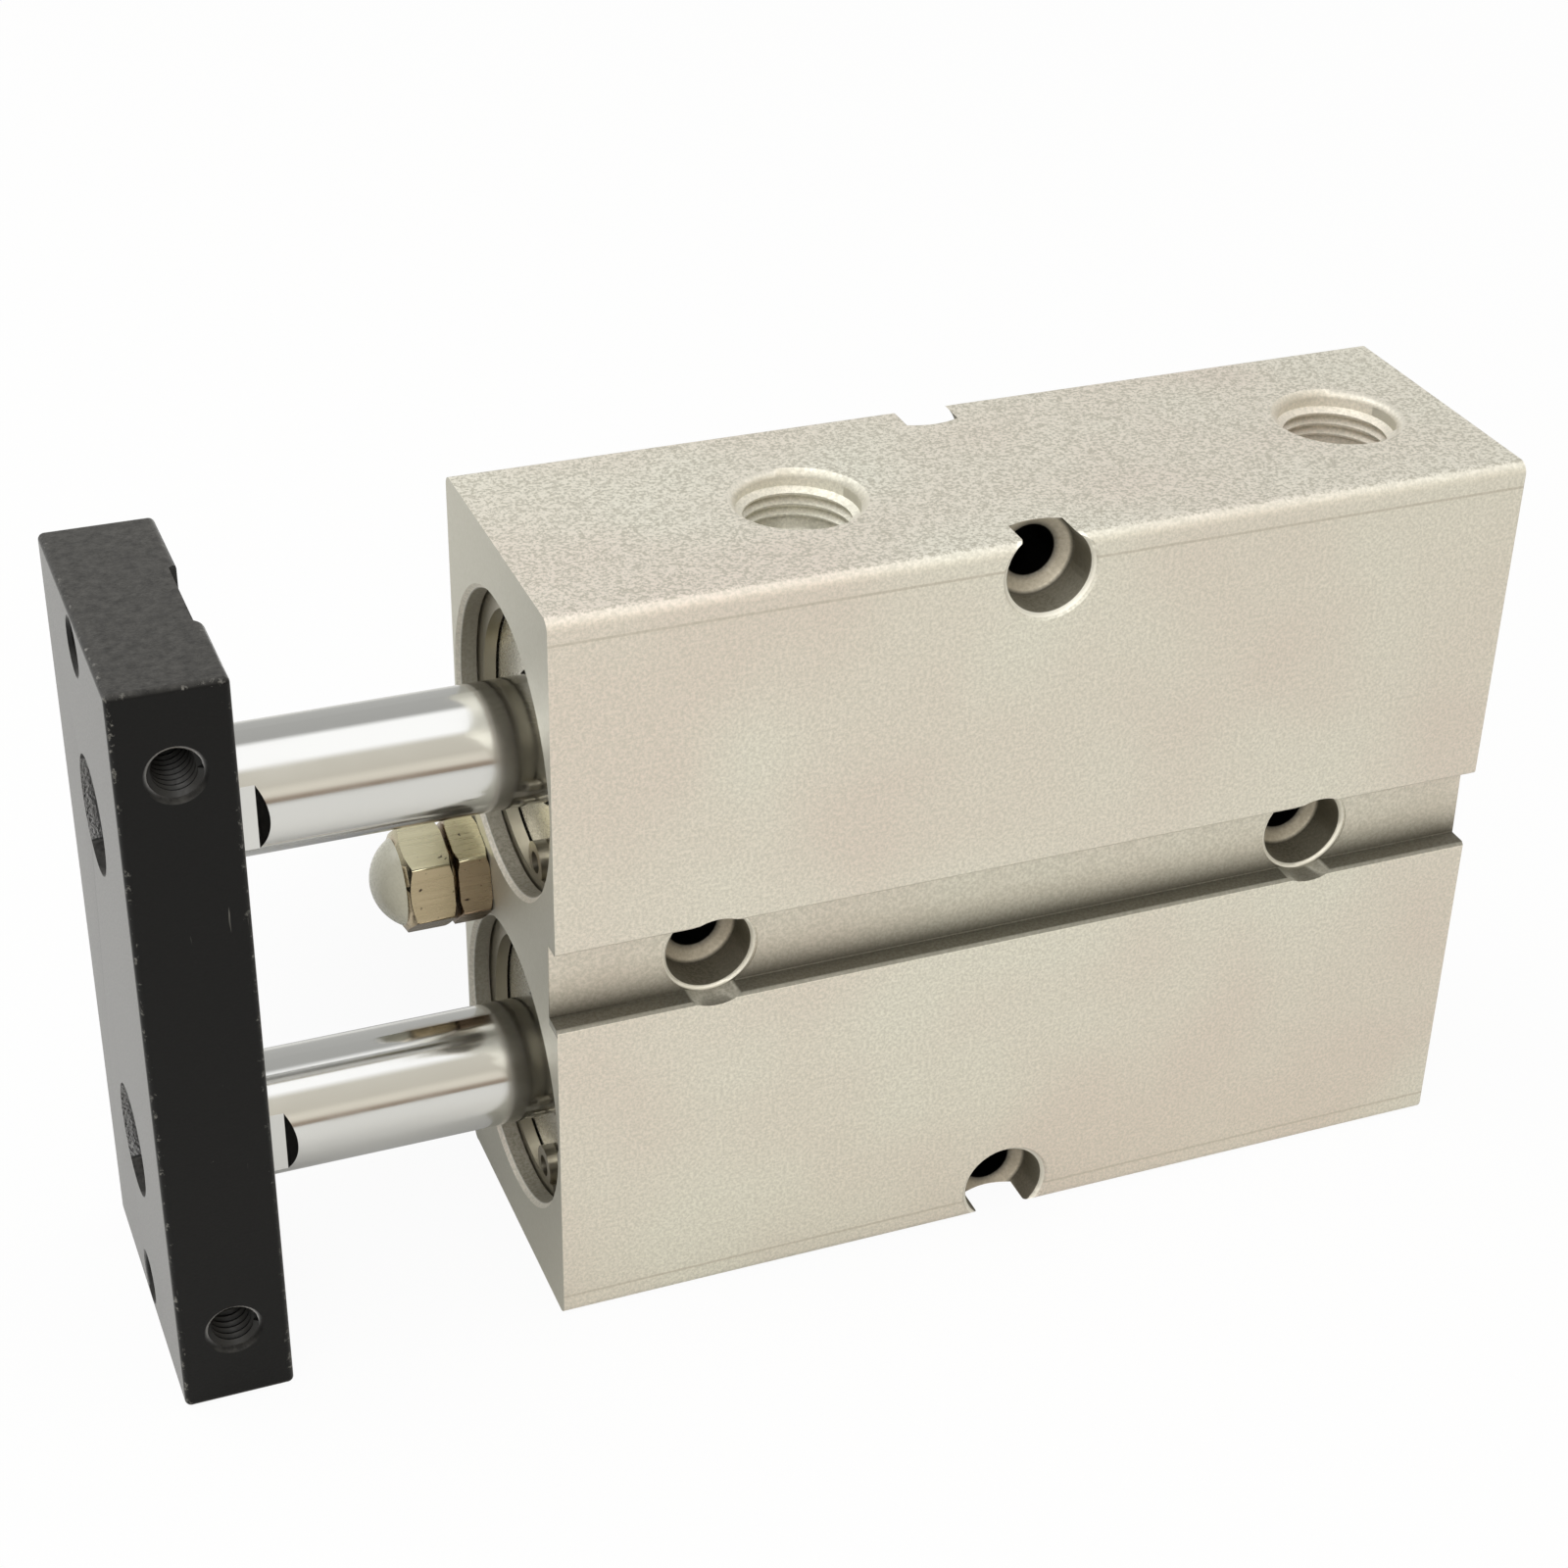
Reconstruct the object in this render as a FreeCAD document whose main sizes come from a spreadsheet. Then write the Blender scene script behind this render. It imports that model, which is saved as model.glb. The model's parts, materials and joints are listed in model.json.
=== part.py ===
"""Guided twin-rod pneumatic cylinder, 20 mm bore, as a parametric FreeCAD document.

Frame, in millimetres: X runs along the rods with the end plate towards -X, Y runs across
the body's thickness and +Z is up.  The body stands on its lower narrow face, and the
origin is the centre of that face.  The rods are drawn at the pose that plate_gap gives.

Every size is a cell of the sheet "Sizes".  Places are expressions of those cells.
"""

import FreeCAD, Part
import math
import os
import re

import Sketcher

# name: (size in millimetres, or degrees for an angle, what it is)
SIZES = {
    "piston_bore": (20, "diameter that the pistons run in"),
    "stroke": (20, "travel from fully in to fully out"),
    "seat_step": (2, "covers' seats over the piston bore, on the radius"),
    "bore_web": (6, "wall between the two bores' seats"),
    "side_wall": (0.9, "wall from a seat to a wide face"),
    "end_wall": (5, "wall from a seat to a narrow face"),
    "body_round": (1, "radius on the body's four long edges"),
    "mouth_chamfer": (0.4, "lead-in at each end of a bore"),
    "front_recess": (1.6, "front face to the front circlip's groove"),
    "rear_recess": (1.8, "rear face to the rear circlip's groove"),
    "clip_thickness": (1, "circlip's wire thickness"),
    "clip_play": (0.3, "circlip groove's width over the circlip"),
    "clip_depth": (0.5, "circlip groove's depth below the seat bore"),
    "clip_band": (2.1, "circlip's width of ring opposite its gap"),
    "clip_offset": (0.45, "circlip's inner edge off centre, which thins it towards the gap"),
    "clip_gap": (3.2, "circlip's opening"),
    "clip_lug": (3.4, "diameter of a circlip's lug"),
    "clip_eye": (1.8, "diameter of the plier hole in a lug"),
    "clip_turn": (33, "circlip's gap, turned about the bore from straight down, in degrees"),
    "channel_width": (6.8, "centre channel in each wide face"),
    "channel_depth": (1.9, "centre channel below the wide face"),
    "channel_lip": (0.3, "chamfer along the channel's edges"),
    "port_thread": (9.73, "port's thread, major diameter"),
    "port_wall": (2.3, "wall between a port's thread and the upper bore"),
    "port_chamfer": (0.6, "countersink at a port's mouth"),
    "passage_bore": (4.6, "air passage below each port"),
    "front_port_room": (0.7, "rod cover's shoulder to the front air passage"),
    "rear_port_room": (0.3, "rear cover to the rear air passage"),
    "screw_through": (4.2, "body's mounting holes, clear diameter"),
    "screw_head_bore": (7, "body's mounting holes, counterbore"),
    "screw_head_depth": (3.3, "counterbore's depth below the face that it starts in"),
    "edge_hole_x": (39.5, "front face to the edge mounting holes"),
    "edge_hole_inset": (2.7, "narrow face to the edge mounting hole that breaks out through it"),
    "edge_hole_chamfer": (0.5, "countersink at an edge mounting hole"),
    "web_hole_front": (13.1, "front face to the first web mounting hole"),
    "web_hole_rear": (15, "rear face to the second web mounting hole"),
    "web_hole_spot": (8, "spot face that clears the channel's walls"),
    "web_hole_sink": (0.1, "spot face below the channel's floor"),
    "web_hole_chamfer": (0.3, "countersink at a web mounting hole"),
    "front_cover_length": (18.2, "front rod cover, behind its circlip"),
    "nose_length": (2.5, "rod cover's nose, into the piston bore"),
    "nose_diameter": (16.4, "rod cover's nose"),
    "cover_chamfer": (0.6, "chamfer round a cover's outer face"),
    "cover_lip": (1.3, "rod cover's lip in front of the rod seal"),
    "lip_clearance": (0.3, "rod cover's lip over the rod, on the radius"),
    "rear_cover_length": (4, "rear cover, in front of its circlip"),
    "rear_dish": (0.8, "depth of the turned dish in the rear cover"),
    "rear_dish_rim": (2.6, "rim left round that dish"),
    "ring_section": (1.5, "O-ring section's diameter"),
    "ring_inset": (2, "O-ring groove's middle from a cover's inner end"),
    "ring_play": (0.05, "O-ring groove over the O-ring, each way"),
    "bush_wall": (1.5, "rod bush's wall"),
    "bush_shoulder": (1.8, "rod cover's shoulder between rod seal and bush"),
    "rod_seal_height": (2.3, "rod seal, on the radius"),
    "rod_seal_width": (3.4, "rod seal, along the rod"),
    "seal_notch": (0.8, "depth of the groove between a seal's lips"),
    "rod_diameter": (10, "guide rod"),
    "rod_chamfer": (0.5, "chamfer at a guide rod's plate end"),
    "rod_flat_depth": (0.8, "depth of each flat on a guide rod"),
    "rod_flat_length": (2.6, "flats beyond the end plate, to their sloping shoulder"),
    "rod_tail_diameter": (6, "threaded tail that holds the piston"),
    "rod_tail_spare": (0.5, "tail beyond the piston's nut"),
    "rod_thread_depth": (14, "tapped hole in a guide rod's plate end"),
    "plate_gap": (22.4, "body's front face to the end plate, as drawn"),
    "plate_thickness": (8.6, "end plate along the rods"),
    "plate_proud": (0.3, "end plate beyond each wide face of the body"),
    "plate_short": (0.15, "end plate inside each narrow face of the body"),
    "plate_round": (0.5, "radius on the end plate's edges"),
    "seat_depth": (0.65, "shallow channel in the end plate's inner face"),
    "seat_slope": (0.65, "sloping side of that channel"),
    "plate_screw": (5, "end plate's socket-head screws, thread"),
    "plate_screw_head": (8.5, "their head's diameter"),
    "plate_screw_head_height": (5, "their head's height"),
    "plate_screw_socket": (4, "their hexagon socket, across flats"),
    "plate_screw_socket_depth": (2.5, "their socket's depth"),
    "plate_screw_length": (12, "their length under the head"),
    "plate_screw_room": (0.35, "end plate's counterbore round a screw head, on the radius"),
    "plate_screw_sink": (0.8, "screw heads below the end plate's outer face"),
    "tap_diameter": (4, "end plate's own tapped holes"),
    "tap_depth": (8, "tapped holes in the end plate's narrow sides"),
    "tap_chamfer": (0.3, "countersink at a tapped hole"),
    "front_tap_inset": (2.85, "end plate's end to the tapped hole through it"),
    "side_tap_inset": (6.85, "end plate's end to the tapped hole in a narrow side"),
    "piston_length": (15, "piston"),
    "piston_gap": (0.3, "piston's radial clearance in its bore"),
    "piston_chamfer": (0.5, "chamfer at a piston's ends"),
    "wear_ring_width": (4, "piston's wear ring"),
    "wear_ring_wall": (1, "piston's wear ring, on the radius"),
    "wear_ring_place": (2.5, "piston's front end to its wear ring"),
    "piston_seal_width": (3, "piston seal"),
    "piston_seal_height": (2, "piston seal, on the radius"),
    "piston_seal_place": (9, "piston's front end to its seal"),
    "magnet_length": (3.5, "magnet ring"),
    "magnet_diameter": (17, "magnet ring"),
    "retainer_length": (2.5, "washer that holds the magnet"),
    "bumper_length": (2, "piston bumper"),
    "bumper_diameter": (15.6, "piston bumper"),
    "rear_bumper_length": (1.8, "bumper on the rear cover"),
    "rear_bumper_diameter": (13, "bumper on the rear cover"),
    "end_room": (0.5, "left in front of the piston bumper when fully out"),
    "tail_room": (1, "left between a rod's tail and the rear bumper when fully in"),
    "piston_nut_flats": (10, "piston nut, across flats"),
    "piston_nut_height": (3.5, "piston nut"),
    "nut_chamfer": (0.5, "turned corner of a nut or bolt head"),
    "stop_offset": (8, "stop bolt's axis off the middle, towards +Y"),
    "stop_drop": (1, "stop bolt's axis below the middle of the body"),
    "stop_thread": (5, "stop bolt's thread"),
    "stop_tap_depth": (8, "tapped hole for the stop bolt"),
    "stop_engagement": (7.2, "stop bolt's thread in the body"),
    "stop_flats": (8, "stop bolt's head and lock nut, across flats"),
    "lock_nut_height": (2.7, "lock nut"),
    "stop_neck": (0.35, "thread showing between lock nut and head"),
    "stop_head_height": (3.85, "stop bolt's head"),
    "stop_dome": (2.1, "height of the bumper's dome"),
    "stop_dome_base": (7.2, "diameter of the bumper at the head"),
    "stop_plug": (3, "diameter of the bumper's plug in the head"),
    "stop_plug_depth": (2, "depth of that plug"),
    "nut_turn": (12, "lock nut's turn about its axis, in degrees"),
    "head_turn": (11, "stop bolt's turn about its axis, in degrees"),
    "fit_gap": (0.03, "radial gap between pieces seated in each other"),
    "running_gap": (0.05, "radial gap between pieces that slide"),
    "overcut": (1, "how far a cutting profile runs past the face it opens"),
}

# name: expression of the sizes above and of the names before it
PLACES = {
    # bores, measured along X from the body's front face
    "seat_radius": "piston_bore / 2 + seat_step",
    "rod_spacing": "2 * seat_radius + bore_web",
    "body_width": "2 * (seat_radius + side_wall)",
    "body_height": "rod_spacing + 2 * (seat_radius + end_wall)",
    "clip_width": "clip_thickness + clip_play",
    "clip_radius": "seat_radius + clip_depth",
    "cover_front": "front_recess + clip_width",
    "cover_step": "cover_front + front_cover_length",
    "nose_end": "cover_step + nose_length",
    "middle_z": "body_height / 2",
    "half_width": "body_width / 2",
    "stop_height": "middle_z - stop_drop",
    "dome_radius": "(stop_dome_base ^ 2 / 4 + stop_dome ^ 2) / 2 / stop_dome",
    # travel
    "stop_reach": "lock_nut_height + stop_neck + stop_head_height + stop_dome",
    "way_in": "plate_gap - stop_reach",
    "way_out": "stroke - way_in",
    # moving pieces, from the body's front face
    "piston_front": "nose_end + end_room + bumper_length + way_out",
    "magnet_front": "piston_front + piston_length",
    "retainer_front": "magnet_front + magnet_length",
    "piston_nut_front": "retainer_front + retainer_length",
    "rod_tail": "piston_nut_front + piston_nut_height + rod_tail_spare",
    "rod_front": "0 - plate_gap - seat_depth",
    "plate_outer": "0 - plate_gap - plate_thickness",
    "screw_seat": "plate_outer + plate_screw_sink + plate_screw_head_height",
    "rod_radius": "rod_diameter / 2",
    "piston_radius": "piston_bore / 2 - piston_gap",
    "piston_hole": "rod_tail_diameter / 2 + fit_gap",
    # body's length, and what is counted from its rear face
    "rear_step": "rod_tail + way_in + tail_room + rear_bumper_length",
    "rear_clip_front": "rear_step + rear_cover_length",
    "body_length": "rear_clip_front + clip_width + rear_recess",
    "front_face": "0 - body_length / 2",
    "front_port": "cover_step + front_port_room + passage_bore / 2",
    "rear_port": "rear_step - rear_port_room - passage_bore / 2",
    "port_depth": "end_wall + seat_step - port_wall",
    # end plate
    "rod_flat": "rod_diameter - 2 * rod_flat_depth",
    "plate_width": "body_width + 2 * plate_proud",
    "plate_height": "body_height - 2 * plate_short",
    "screw_bore_radius": "plate_screw_head / 2 + plate_screw_room",
    # rod cover's inside, from the body's front face
    "seal_front": "cover_front + cover_lip",
    "seal_back": "seal_front + rod_seal_width",
    "bush_front": "seal_back + bush_shoulder",
    "bush_radius": "rod_radius + running_gap + bush_wall",
    "cover_radius": "seat_radius - fit_gap",
    "ring_radius": "seat_radius - ring_play - ring_section / 2",
    "ring_groove": "ring_section / 2 + ring_play",
}

UPWARDS = FreeCAD.Vector(0, 0, 1)

SIDES = {
    "upper": "middle_z + rod_spacing / 2",
    "lower": "middle_z - rod_spacing / 2",
}


def bind(text):
    """Return an expression with places written out and every size as a cell of the sheet."""
    def cell(match):
        name = match.group()
        if name in PLACES:
            return "(" + bind(PLACES[name]) + ")"
        return "Sizes." + name if name in SIZES else name

    return re.sub(r"[a-z_]+", cell, text)


def make_sheet(doc):
    """Fill the sheet: a note, the size and its alias on each row."""
    sheet = doc.addObject("Spreadsheet::Sheet", "Sizes")
    for row, (name, (size, note)) in enumerate(SIZES.items(), start=1):
        sheet.set(f"A{row}", note)
        sheet.set(f"B{row}", str(size))
        sheet.setAlias(f"B{row}", name)
    doc.recompute()


def origin_plane(body, role):
    """Return one of a body's own origin planes."""
    return next(f for f in body.Origin.OriginFeatures if f.Role == role)


def new_sketch(body, name, role, offset=None):
    """Attach a sketch to an origin plane, moved along its normal by an expression."""
    sketch = body.newObject("Sketcher::SketchObject", name)
    sketch.AttachmentSupport = [(origin_plane(body, role), "")]
    sketch.MapMode = "FlatFace"
    if offset:
        sketch.setExpression("AttachmentOffset.Base.z", bind(offset))
    return sketch


def spot(sketch, place):
    """Return the point that two expressions give at the present sizes, to draw from."""
    return FreeCAD.Vector(*(float(sketch.evalExpression(bind(text))) for text in place), 0)


def fix_point(sketch, geometry, point, place):
    """Dimension a point from the sketch's origin with two expressions."""
    drawn = spot(sketch, place)
    for kind, text, start in zip(("DistanceX", "DistanceY"), place, (drawn.x, drawn.y)):
        if text == "0":
            axis = -2 if kind == "DistanceX" else -1
            sketch.addConstraint(Sketcher.Constraint("PointOnObject", geometry, point, axis))
        else:
            index = sketch.addConstraint(Sketcher.Constraint(kind, -1, 1, geometry, point, start))
            sketch.setExpression(f"Constraints[{index}]", bind(text))


def draw_outline(sketch, points):
    """Draw a closed outline of straight lines through the given places."""
    count = len(points)
    start = sketch.GeometryCount
    spots = [spot(sketch, place) for place in points]
    sketch.addGeometry([Part.LineSegment(spots[i], spots[(i + 1) % count]) for i in range(count)])
    for i in range(count):
        after = start + (i + 1) % count
        sketch.addConstraint(Sketcher.Constraint("Coincident", start + i, 2, after, 1))
    for i, place in enumerate(points):
        fix_point(sketch, start + i, 1, place)


def draw_axis(sketch, first, second):
    """Draw the construction line that a round cut turns about."""
    line = Part.LineSegment(spot(sketch, first), spot(sketch, second))
    index = sketch.addGeometry(line, True)
    fix_point(sketch, index, 1, first)
    fix_point(sketch, index, 2, second)


def new_body(doc, label, place=None):
    """Make a body with its label and, as expressions, the place of its origin."""
    body = doc.addObject("PartDesign::Body", label)
    body.Label = label
    put(body, place)
    return body


def turn_piece(piece, turn):
    """Bind an object's turn about its own line along -X, in degrees."""
    piece.Placement.Rotation = FreeCAD.Rotation(FreeCAD.Vector(-1, 0, 0), 1)
    piece.setExpression("Placement.Rotation.Angle", bind(turn))


def put(piece, place):
    """Bind an object's place to three expressions, None for zero."""
    for axis, text in zip("xyz", place or ()):
        if text:
            piece.setExpression(f"Placement.Base.{axis}", bind(text))


def block(body, name, role, points, length, symmetric=False):
    """Pad an outline by an expression."""
    sketch = new_sketch(body, name + "_sketch", role)
    draw_outline(sketch, points)
    pad = body.newObject("PartDesign::Pad", name)
    pad.Profile = sketch
    pad.setExpression("Length", bind(length))
    pad.Midplane = symmetric
    body.Document.recompute()
    return pad


def slot_cut(body, name, role, points):
    """Cut an outline through the whole body, both ways from its plane."""
    sketch = new_sketch(body, name + "_sketch", role)
    draw_outline(sketch, points)
    before = body.Shape.Volume
    pocket = body.newObject("PartDesign::Pocket", name)
    pocket.Profile = sketch
    pocket.Type = "ThroughAll"
    pocket.Midplane = True
    body.Document.recompute()
    check_cut(body, name, before)


def round_cut(body, name, along, centre, profile):
    """Cut a turned hole: profile holds places along the axis with their radii.

    along is the axis, X, Y or Z, and centre gives the other two coordinates of its line.
    """
    if along == "X":
        role, offset, side = "XZ_Plane", f"0 - ({centre[0]})", centre[1]
    elif along == "Z":
        role, offset, side = "XZ_Plane", f"0 - ({centre[1]})", centre[0]
    else:
        role, offset, side = "XY_Plane", centre[1], centre[0]

    def corner(place, radius):
        out = f"{side} + {radius}" if radius != "0" else side
        return (place, out) if along == "X" else (out, place)

    sketch = new_sketch(body, name + "_sketch", role, offset)
    ends = [(profile[0][0], "0"), *profile, (profile[-1][0], "0")]
    draw_outline(sketch, [corner(*p) for p in ends])
    draw_axis(sketch, corner(*ends[0]), corner(*ends[-1]))
    before = body.Shape.Volume
    groove = body.newObject("PartDesign::Groove", name)
    groove.Profile = sketch
    groove.ReferenceAxis = (sketch, ["Axis0"])
    groove.Angle = 360
    body.Document.recompute()
    check_cut(body, name, before)


def check_cut(body, name, before):
    """Stop if a cut took nothing away."""
    if not body.Shape.Volume < before:
        raise RuntimeError(f"{body.Label}: {name} cuts nothing")


def round_edges(body, name, size, wanted):
    """Round the straight outer edges, those on two faces of the box, that run along wanted axes."""
    base = body.Tip
    box = base.Shape.BoundBox
    limits = {"x": (box.XMin, box.XMax), "y": (box.YMin, box.YMax), "z": (box.ZMin, box.ZMax)}
    names = []
    for index, edge in enumerate(base.Shape.Edges, start=1):
        first, last = (v.Point for v in edge.Vertexes)
        flat = [a for a, ends in limits.items() if all(near_end(p, a, ends) for p in (first, last))
                and same(getattr(first, a), getattr(last, a))]
        if len(flat) == 2 and set(limits) - set(flat) <= set(wanted):
            names.append(f"Edge{index}")
    fillet = body.newObject("PartDesign::Fillet", name)
    fillet.Base = (base, names)
    fillet.setExpression("Radius", bind(size))
    body.Document.recompute()


def same(first, second):
    """Return whether two lengths are equal to a millionth of a millimetre."""
    return abs(first - second) < 1e-6


def near_end(point, axis, ends):
    """Return whether a point lies on one of a box's two faces across an axis."""
    return any(same(getattr(point, axis), end) for end in ends)


def turned(doc, label, profile, place):
    """Turn a closed profile of (place along X, radius) about the piece's X axis."""
    body = new_body(doc, label, place)
    sketch = new_sketch(body, label + "_profile", "XZ_Plane")
    draw_outline(sketch, profile)
    turn = body.newObject("PartDesign::Revolution", label + "_turned")
    turn.Profile = sketch
    turn.ReferenceAxis = (sketch, ["H_Axis"])
    turn.Angle = 360
    doc.recompute()
    return body


def tube(first, last, inner, outer):
    """Return a plain ring's profile."""
    return [(first, inner), (last, inner), (last, outer), (first, outer)]


def along_x(piece, place=None):
    """Turn a primitive that is drawn along Z to run along X, and bind its place."""
    piece.Placement.Rotation = FreeCAD.Rotation(FreeCAD.Vector(0, 1, 0), 90)
    put(piece, place)
    return piece


def hexagon_bar(doc, name, flats, length, place=None):
    """Make a hexagonal bar that runs along X."""
    bar = doc.addObject("Part::Prism", name)
    bar.Polygon = 6
    bar.setExpression("Circumradius", bind(f"{flats} / 2 / cos(30 deg)"))
    bar.setExpression("Height", bind(length))
    return along_x(bar, place)


def disc(doc, name, radius, thickness, place=None):
    """Make a cylinder that runs along X."""
    cylinder = doc.addObject("Part::Cylinder", name)
    cylinder.setExpression("Radius", bind(radius))
    cylinder.setExpression("Height", bind(thickness))
    return along_x(cylinder, place)


def combine(doc, kind, label, base, tool, place=None, turn=None):
    """Join two objects with a Part boolean, label the result and bind its place and turn."""
    piece = doc.addObject(kind, label)
    piece.Base, piece.Tool = base, tool
    piece.Label = label
    if turn:
        turn_piece(piece, turn)
    put(piece, place)
    doc.recompute()
    return piece


# ---- the body's group -------------------------------------------------------------------


def make_body(doc):
    """Extruded body with two bores, channels, ports and mounting holes."""
    body = new_body(doc, "body", ("front_face", None, None))
    section = [("0 - half_width", "0"), ("half_width", "0"),
               ("half_width", "body_height"), ("0 - half_width", "body_height")]
    block(body, "extrusion", "YZ_Plane", section, "body_length")
    round_edges(body, "long_edges", "body_round", "x")
    for name, sign in (("near", "0 -"), ("far", "0 +")):
        slot_cut(body, f"{name}_channel", "YZ_Plane", channel_section(sign))
    for name, centre in SIDES.items():
        round_cut(body, f"{name}_bore", "X", ("0", centre), bore_profile())
    for name, place in (("front", "front_port"), ("rear", "rear_port")):
        round_cut(body, f"{name}_port", "Z", (place, "0"), port_profile())
    for name, place in (("front", "web_hole_front"), ("rear", "body_length - web_hole_rear")):
        round_cut(body, f"{name}_web_hole", "Y", (place, "middle_z"), web_hole_profile())
    for name, sign in (("upper", "+"), ("lower", "-")):
        centre = ("edge_hole_x", f"middle_z {sign} (middle_z - edge_hole_inset)")
        round_cut(body, f"{name}_edge_hole", "Y", centre, edge_hole_profile())
    round_cut(body, "stop_tap", "X", ("stop_offset", "stop_height"), stop_tap_profile())
    return body


def channel_section(sign):
    """Section of a centre channel, sign saying which wide face it is in."""
    wall = "channel_width / 2"
    mouth = f"{wall} + channel_lip + overcut"
    return [
        (f"{sign} (half_width + overcut)", f"middle_z - ({mouth})"),
        (f"{sign} (half_width - channel_lip)", f"middle_z - {wall}"),
        (f"{sign} (half_width - channel_depth)", f"middle_z - {wall}"),
        (f"{sign} (half_width - channel_depth)", f"middle_z + {wall}"),
        (f"{sign} (half_width - channel_lip)", f"middle_z + {wall}"),
        (f"{sign} (half_width + overcut)", f"middle_z + {mouth}"),
    ]


def bore_profile():
    """A bore with its cover seats, circlip grooves and lead-in chamfers."""
    mouth = "seat_radius + mouth_chamfer + overcut"
    return [
        ("0 - overcut", mouth),
        ("mouth_chamfer", "seat_radius"),
        ("front_recess", "seat_radius"),
        ("front_recess", "clip_radius"),
        ("cover_front", "clip_radius"),
        ("cover_front", "seat_radius"),
        ("cover_step", "seat_radius"),
        ("cover_step", "piston_bore / 2"),
        ("rear_step", "piston_bore / 2"),
        ("rear_step", "seat_radius"),
        ("rear_clip_front", "seat_radius"),
        ("rear_clip_front", "clip_radius"),
        ("body_length - rear_recess", "clip_radius"),
        ("body_length - rear_recess", "seat_radius"),
        ("body_length - mouth_chamfer", "seat_radius"),
        ("body_length + overcut", mouth),
    ]


def port_profile():
    """A port from the upper narrow face, with its passage on into the lower bore."""
    thread, passage = "port_thread / 2", "passage_bore / 2"
    floor = "body_height - port_depth"
    return [
        ("body_height + overcut", f"{thread} + port_chamfer + overcut"),
        ("body_height - port_chamfer", thread),
        (floor, thread),
        (f"{floor} - {cone(thread, passage)}", passage),
        (SIDES["lower"], passage),
    ]


def cone(wide, narrow):
    """Length of a 120 degree drill point between two radii."""
    return f"({wide} - {narrow}) * tan(30 deg)"


def web_hole_profile():
    """A mounting hole between the bores, counterbored from both channels."""
    head, through = "screw_head_bore / 2", "screw_through / 2"
    floor = "channel_depth + screw_head_depth"
    spot_floor = "channel_depth + web_hole_sink"
    near = [
        ("0 - overcut", "web_hole_spot / 2"),
        (spot_floor, "web_hole_spot / 2"),
        (spot_floor, f"{head} + web_hole_chamfer"),
        (f"{spot_floor} + web_hole_chamfer", head),
        (floor, head),
        (f"{floor} + {cone(head, through)}", through),
    ]
    return both_ways(near)


def edge_hole_profile():
    """A mounting hole that breaks out through a narrow face, counterbored from both sides."""
    head, through = "screw_head_bore / 2", "screw_through / 2"
    near = [
        ("0 - overcut", f"{head} + edge_hole_chamfer + overcut"),
        ("edge_hole_chamfer", head),
        ("screw_head_depth", head),
        (f"screw_head_depth + {cone(head, through)}", through),
    ]
    return both_ways(near)


def both_ways(near):
    """Turn depths below a wide face into places across the body, from both wide faces."""
    first = [(f"{depth} - half_width", radius) for depth, radius in near]
    last = [(f"half_width - ({depth})", radius) for depth, radius in reversed(near)]
    return first + last


def stop_tap_profile():
    """The blind tapped hole that the stop bolt screws into."""
    thread = "stop_thread / 2"
    return [
        ("0 - overcut", f"{thread} + tap_chamfer + overcut"),
        ("tap_chamfer", thread),
        ("stop_tap_depth", thread),
    ]


def bore_place(side):
    """Place of a piece whose X is counted from the front face, on a bore's axis."""
    return ("front_face", None, SIDES[side])


def make_rod_cover(doc, side):
    """Front cover that carries the rod's bush and seal."""
    middle = "cover_step - ring_inset"
    lip = "rod_radius + lip_clearance"
    pocket = "rod_radius + running_gap + rod_seal_height"
    return turned(doc, f"rod_cover_{side}", [
        ("cover_front", lip),
        ("seal_front", lip),
        ("seal_front", pocket),
        ("seal_back", pocket),
        ("seal_back", lip),
        ("bush_front", lip),
        ("bush_front", "bush_radius"),
        ("nose_end", "bush_radius"),
        ("nose_end", "nose_diameter / 2"),
        ("cover_step", "nose_diameter / 2"),
        ("cover_step", "cover_radius"),
        *ring_groove(middle, falling=True),
        ("cover_front + cover_chamfer", "cover_radius"),
        ("cover_front", "cover_radius - cover_chamfer"),
    ], bore_place(side))


def ring_groove(middle, falling=False):
    """Profile of an O-ring groove round a cover."""
    floor = "ring_radius - ring_groove"
    points = [
        (f"{middle} - ring_groove", "cover_radius"),
        (f"{middle} - ring_groove", floor),
        (f"{middle} + ring_groove", floor),
        (f"{middle} + ring_groove", "cover_radius"),
    ]
    return points[::-1] if falling else points


def make_rear_cover(doc, side):
    """Plain rear cover with a turned dish in its outer face."""
    dish = "cover_radius - rear_dish_rim"
    return turned(doc, f"rear_cover_{side}", [
        ("rear_step", "0"),
        ("rear_step", "cover_radius"),
        *ring_groove("rear_step + ring_inset"),
        ("rear_clip_front - cover_chamfer", "cover_radius"),
        ("rear_clip_front", "cover_radius - cover_chamfer"),
        ("rear_clip_front", dish),
        ("rear_clip_front - rear_dish", f"{dish} - rear_dish"),
        ("rear_clip_front - rear_dish", "0"),
    ], bore_place(side))


def make_o_ring(doc, label, middle, side):
    """O-ring as a circle turned about the bore's axis."""
    body = new_body(doc, label, bore_place(side))
    sketch = new_sketch(body, label + "_section", "XZ_Plane")
    centre, section = (middle, "ring_radius"), "ring_section / 2"
    size = float(sketch.evalExpression(bind(section)))
    circle = sketch.addGeometry(Part.Circle(spot(sketch, centre), UPWARDS, size))
    radius = sketch.addConstraint(Sketcher.Constraint("Radius", circle, size))
    sketch.setExpression(f"Constraints[{radius}]", bind(section))
    fix_point(sketch, circle, 3, centre)  # 3 is a circle's centre point
    turn = body.newObject("PartDesign::Revolution", label + "_turned")
    turn.Profile = sketch
    turn.ReferenceAxis = (sketch, ["H_Axis"])
    turn.Angle = 360
    doc.recompute()
    return body


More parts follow.
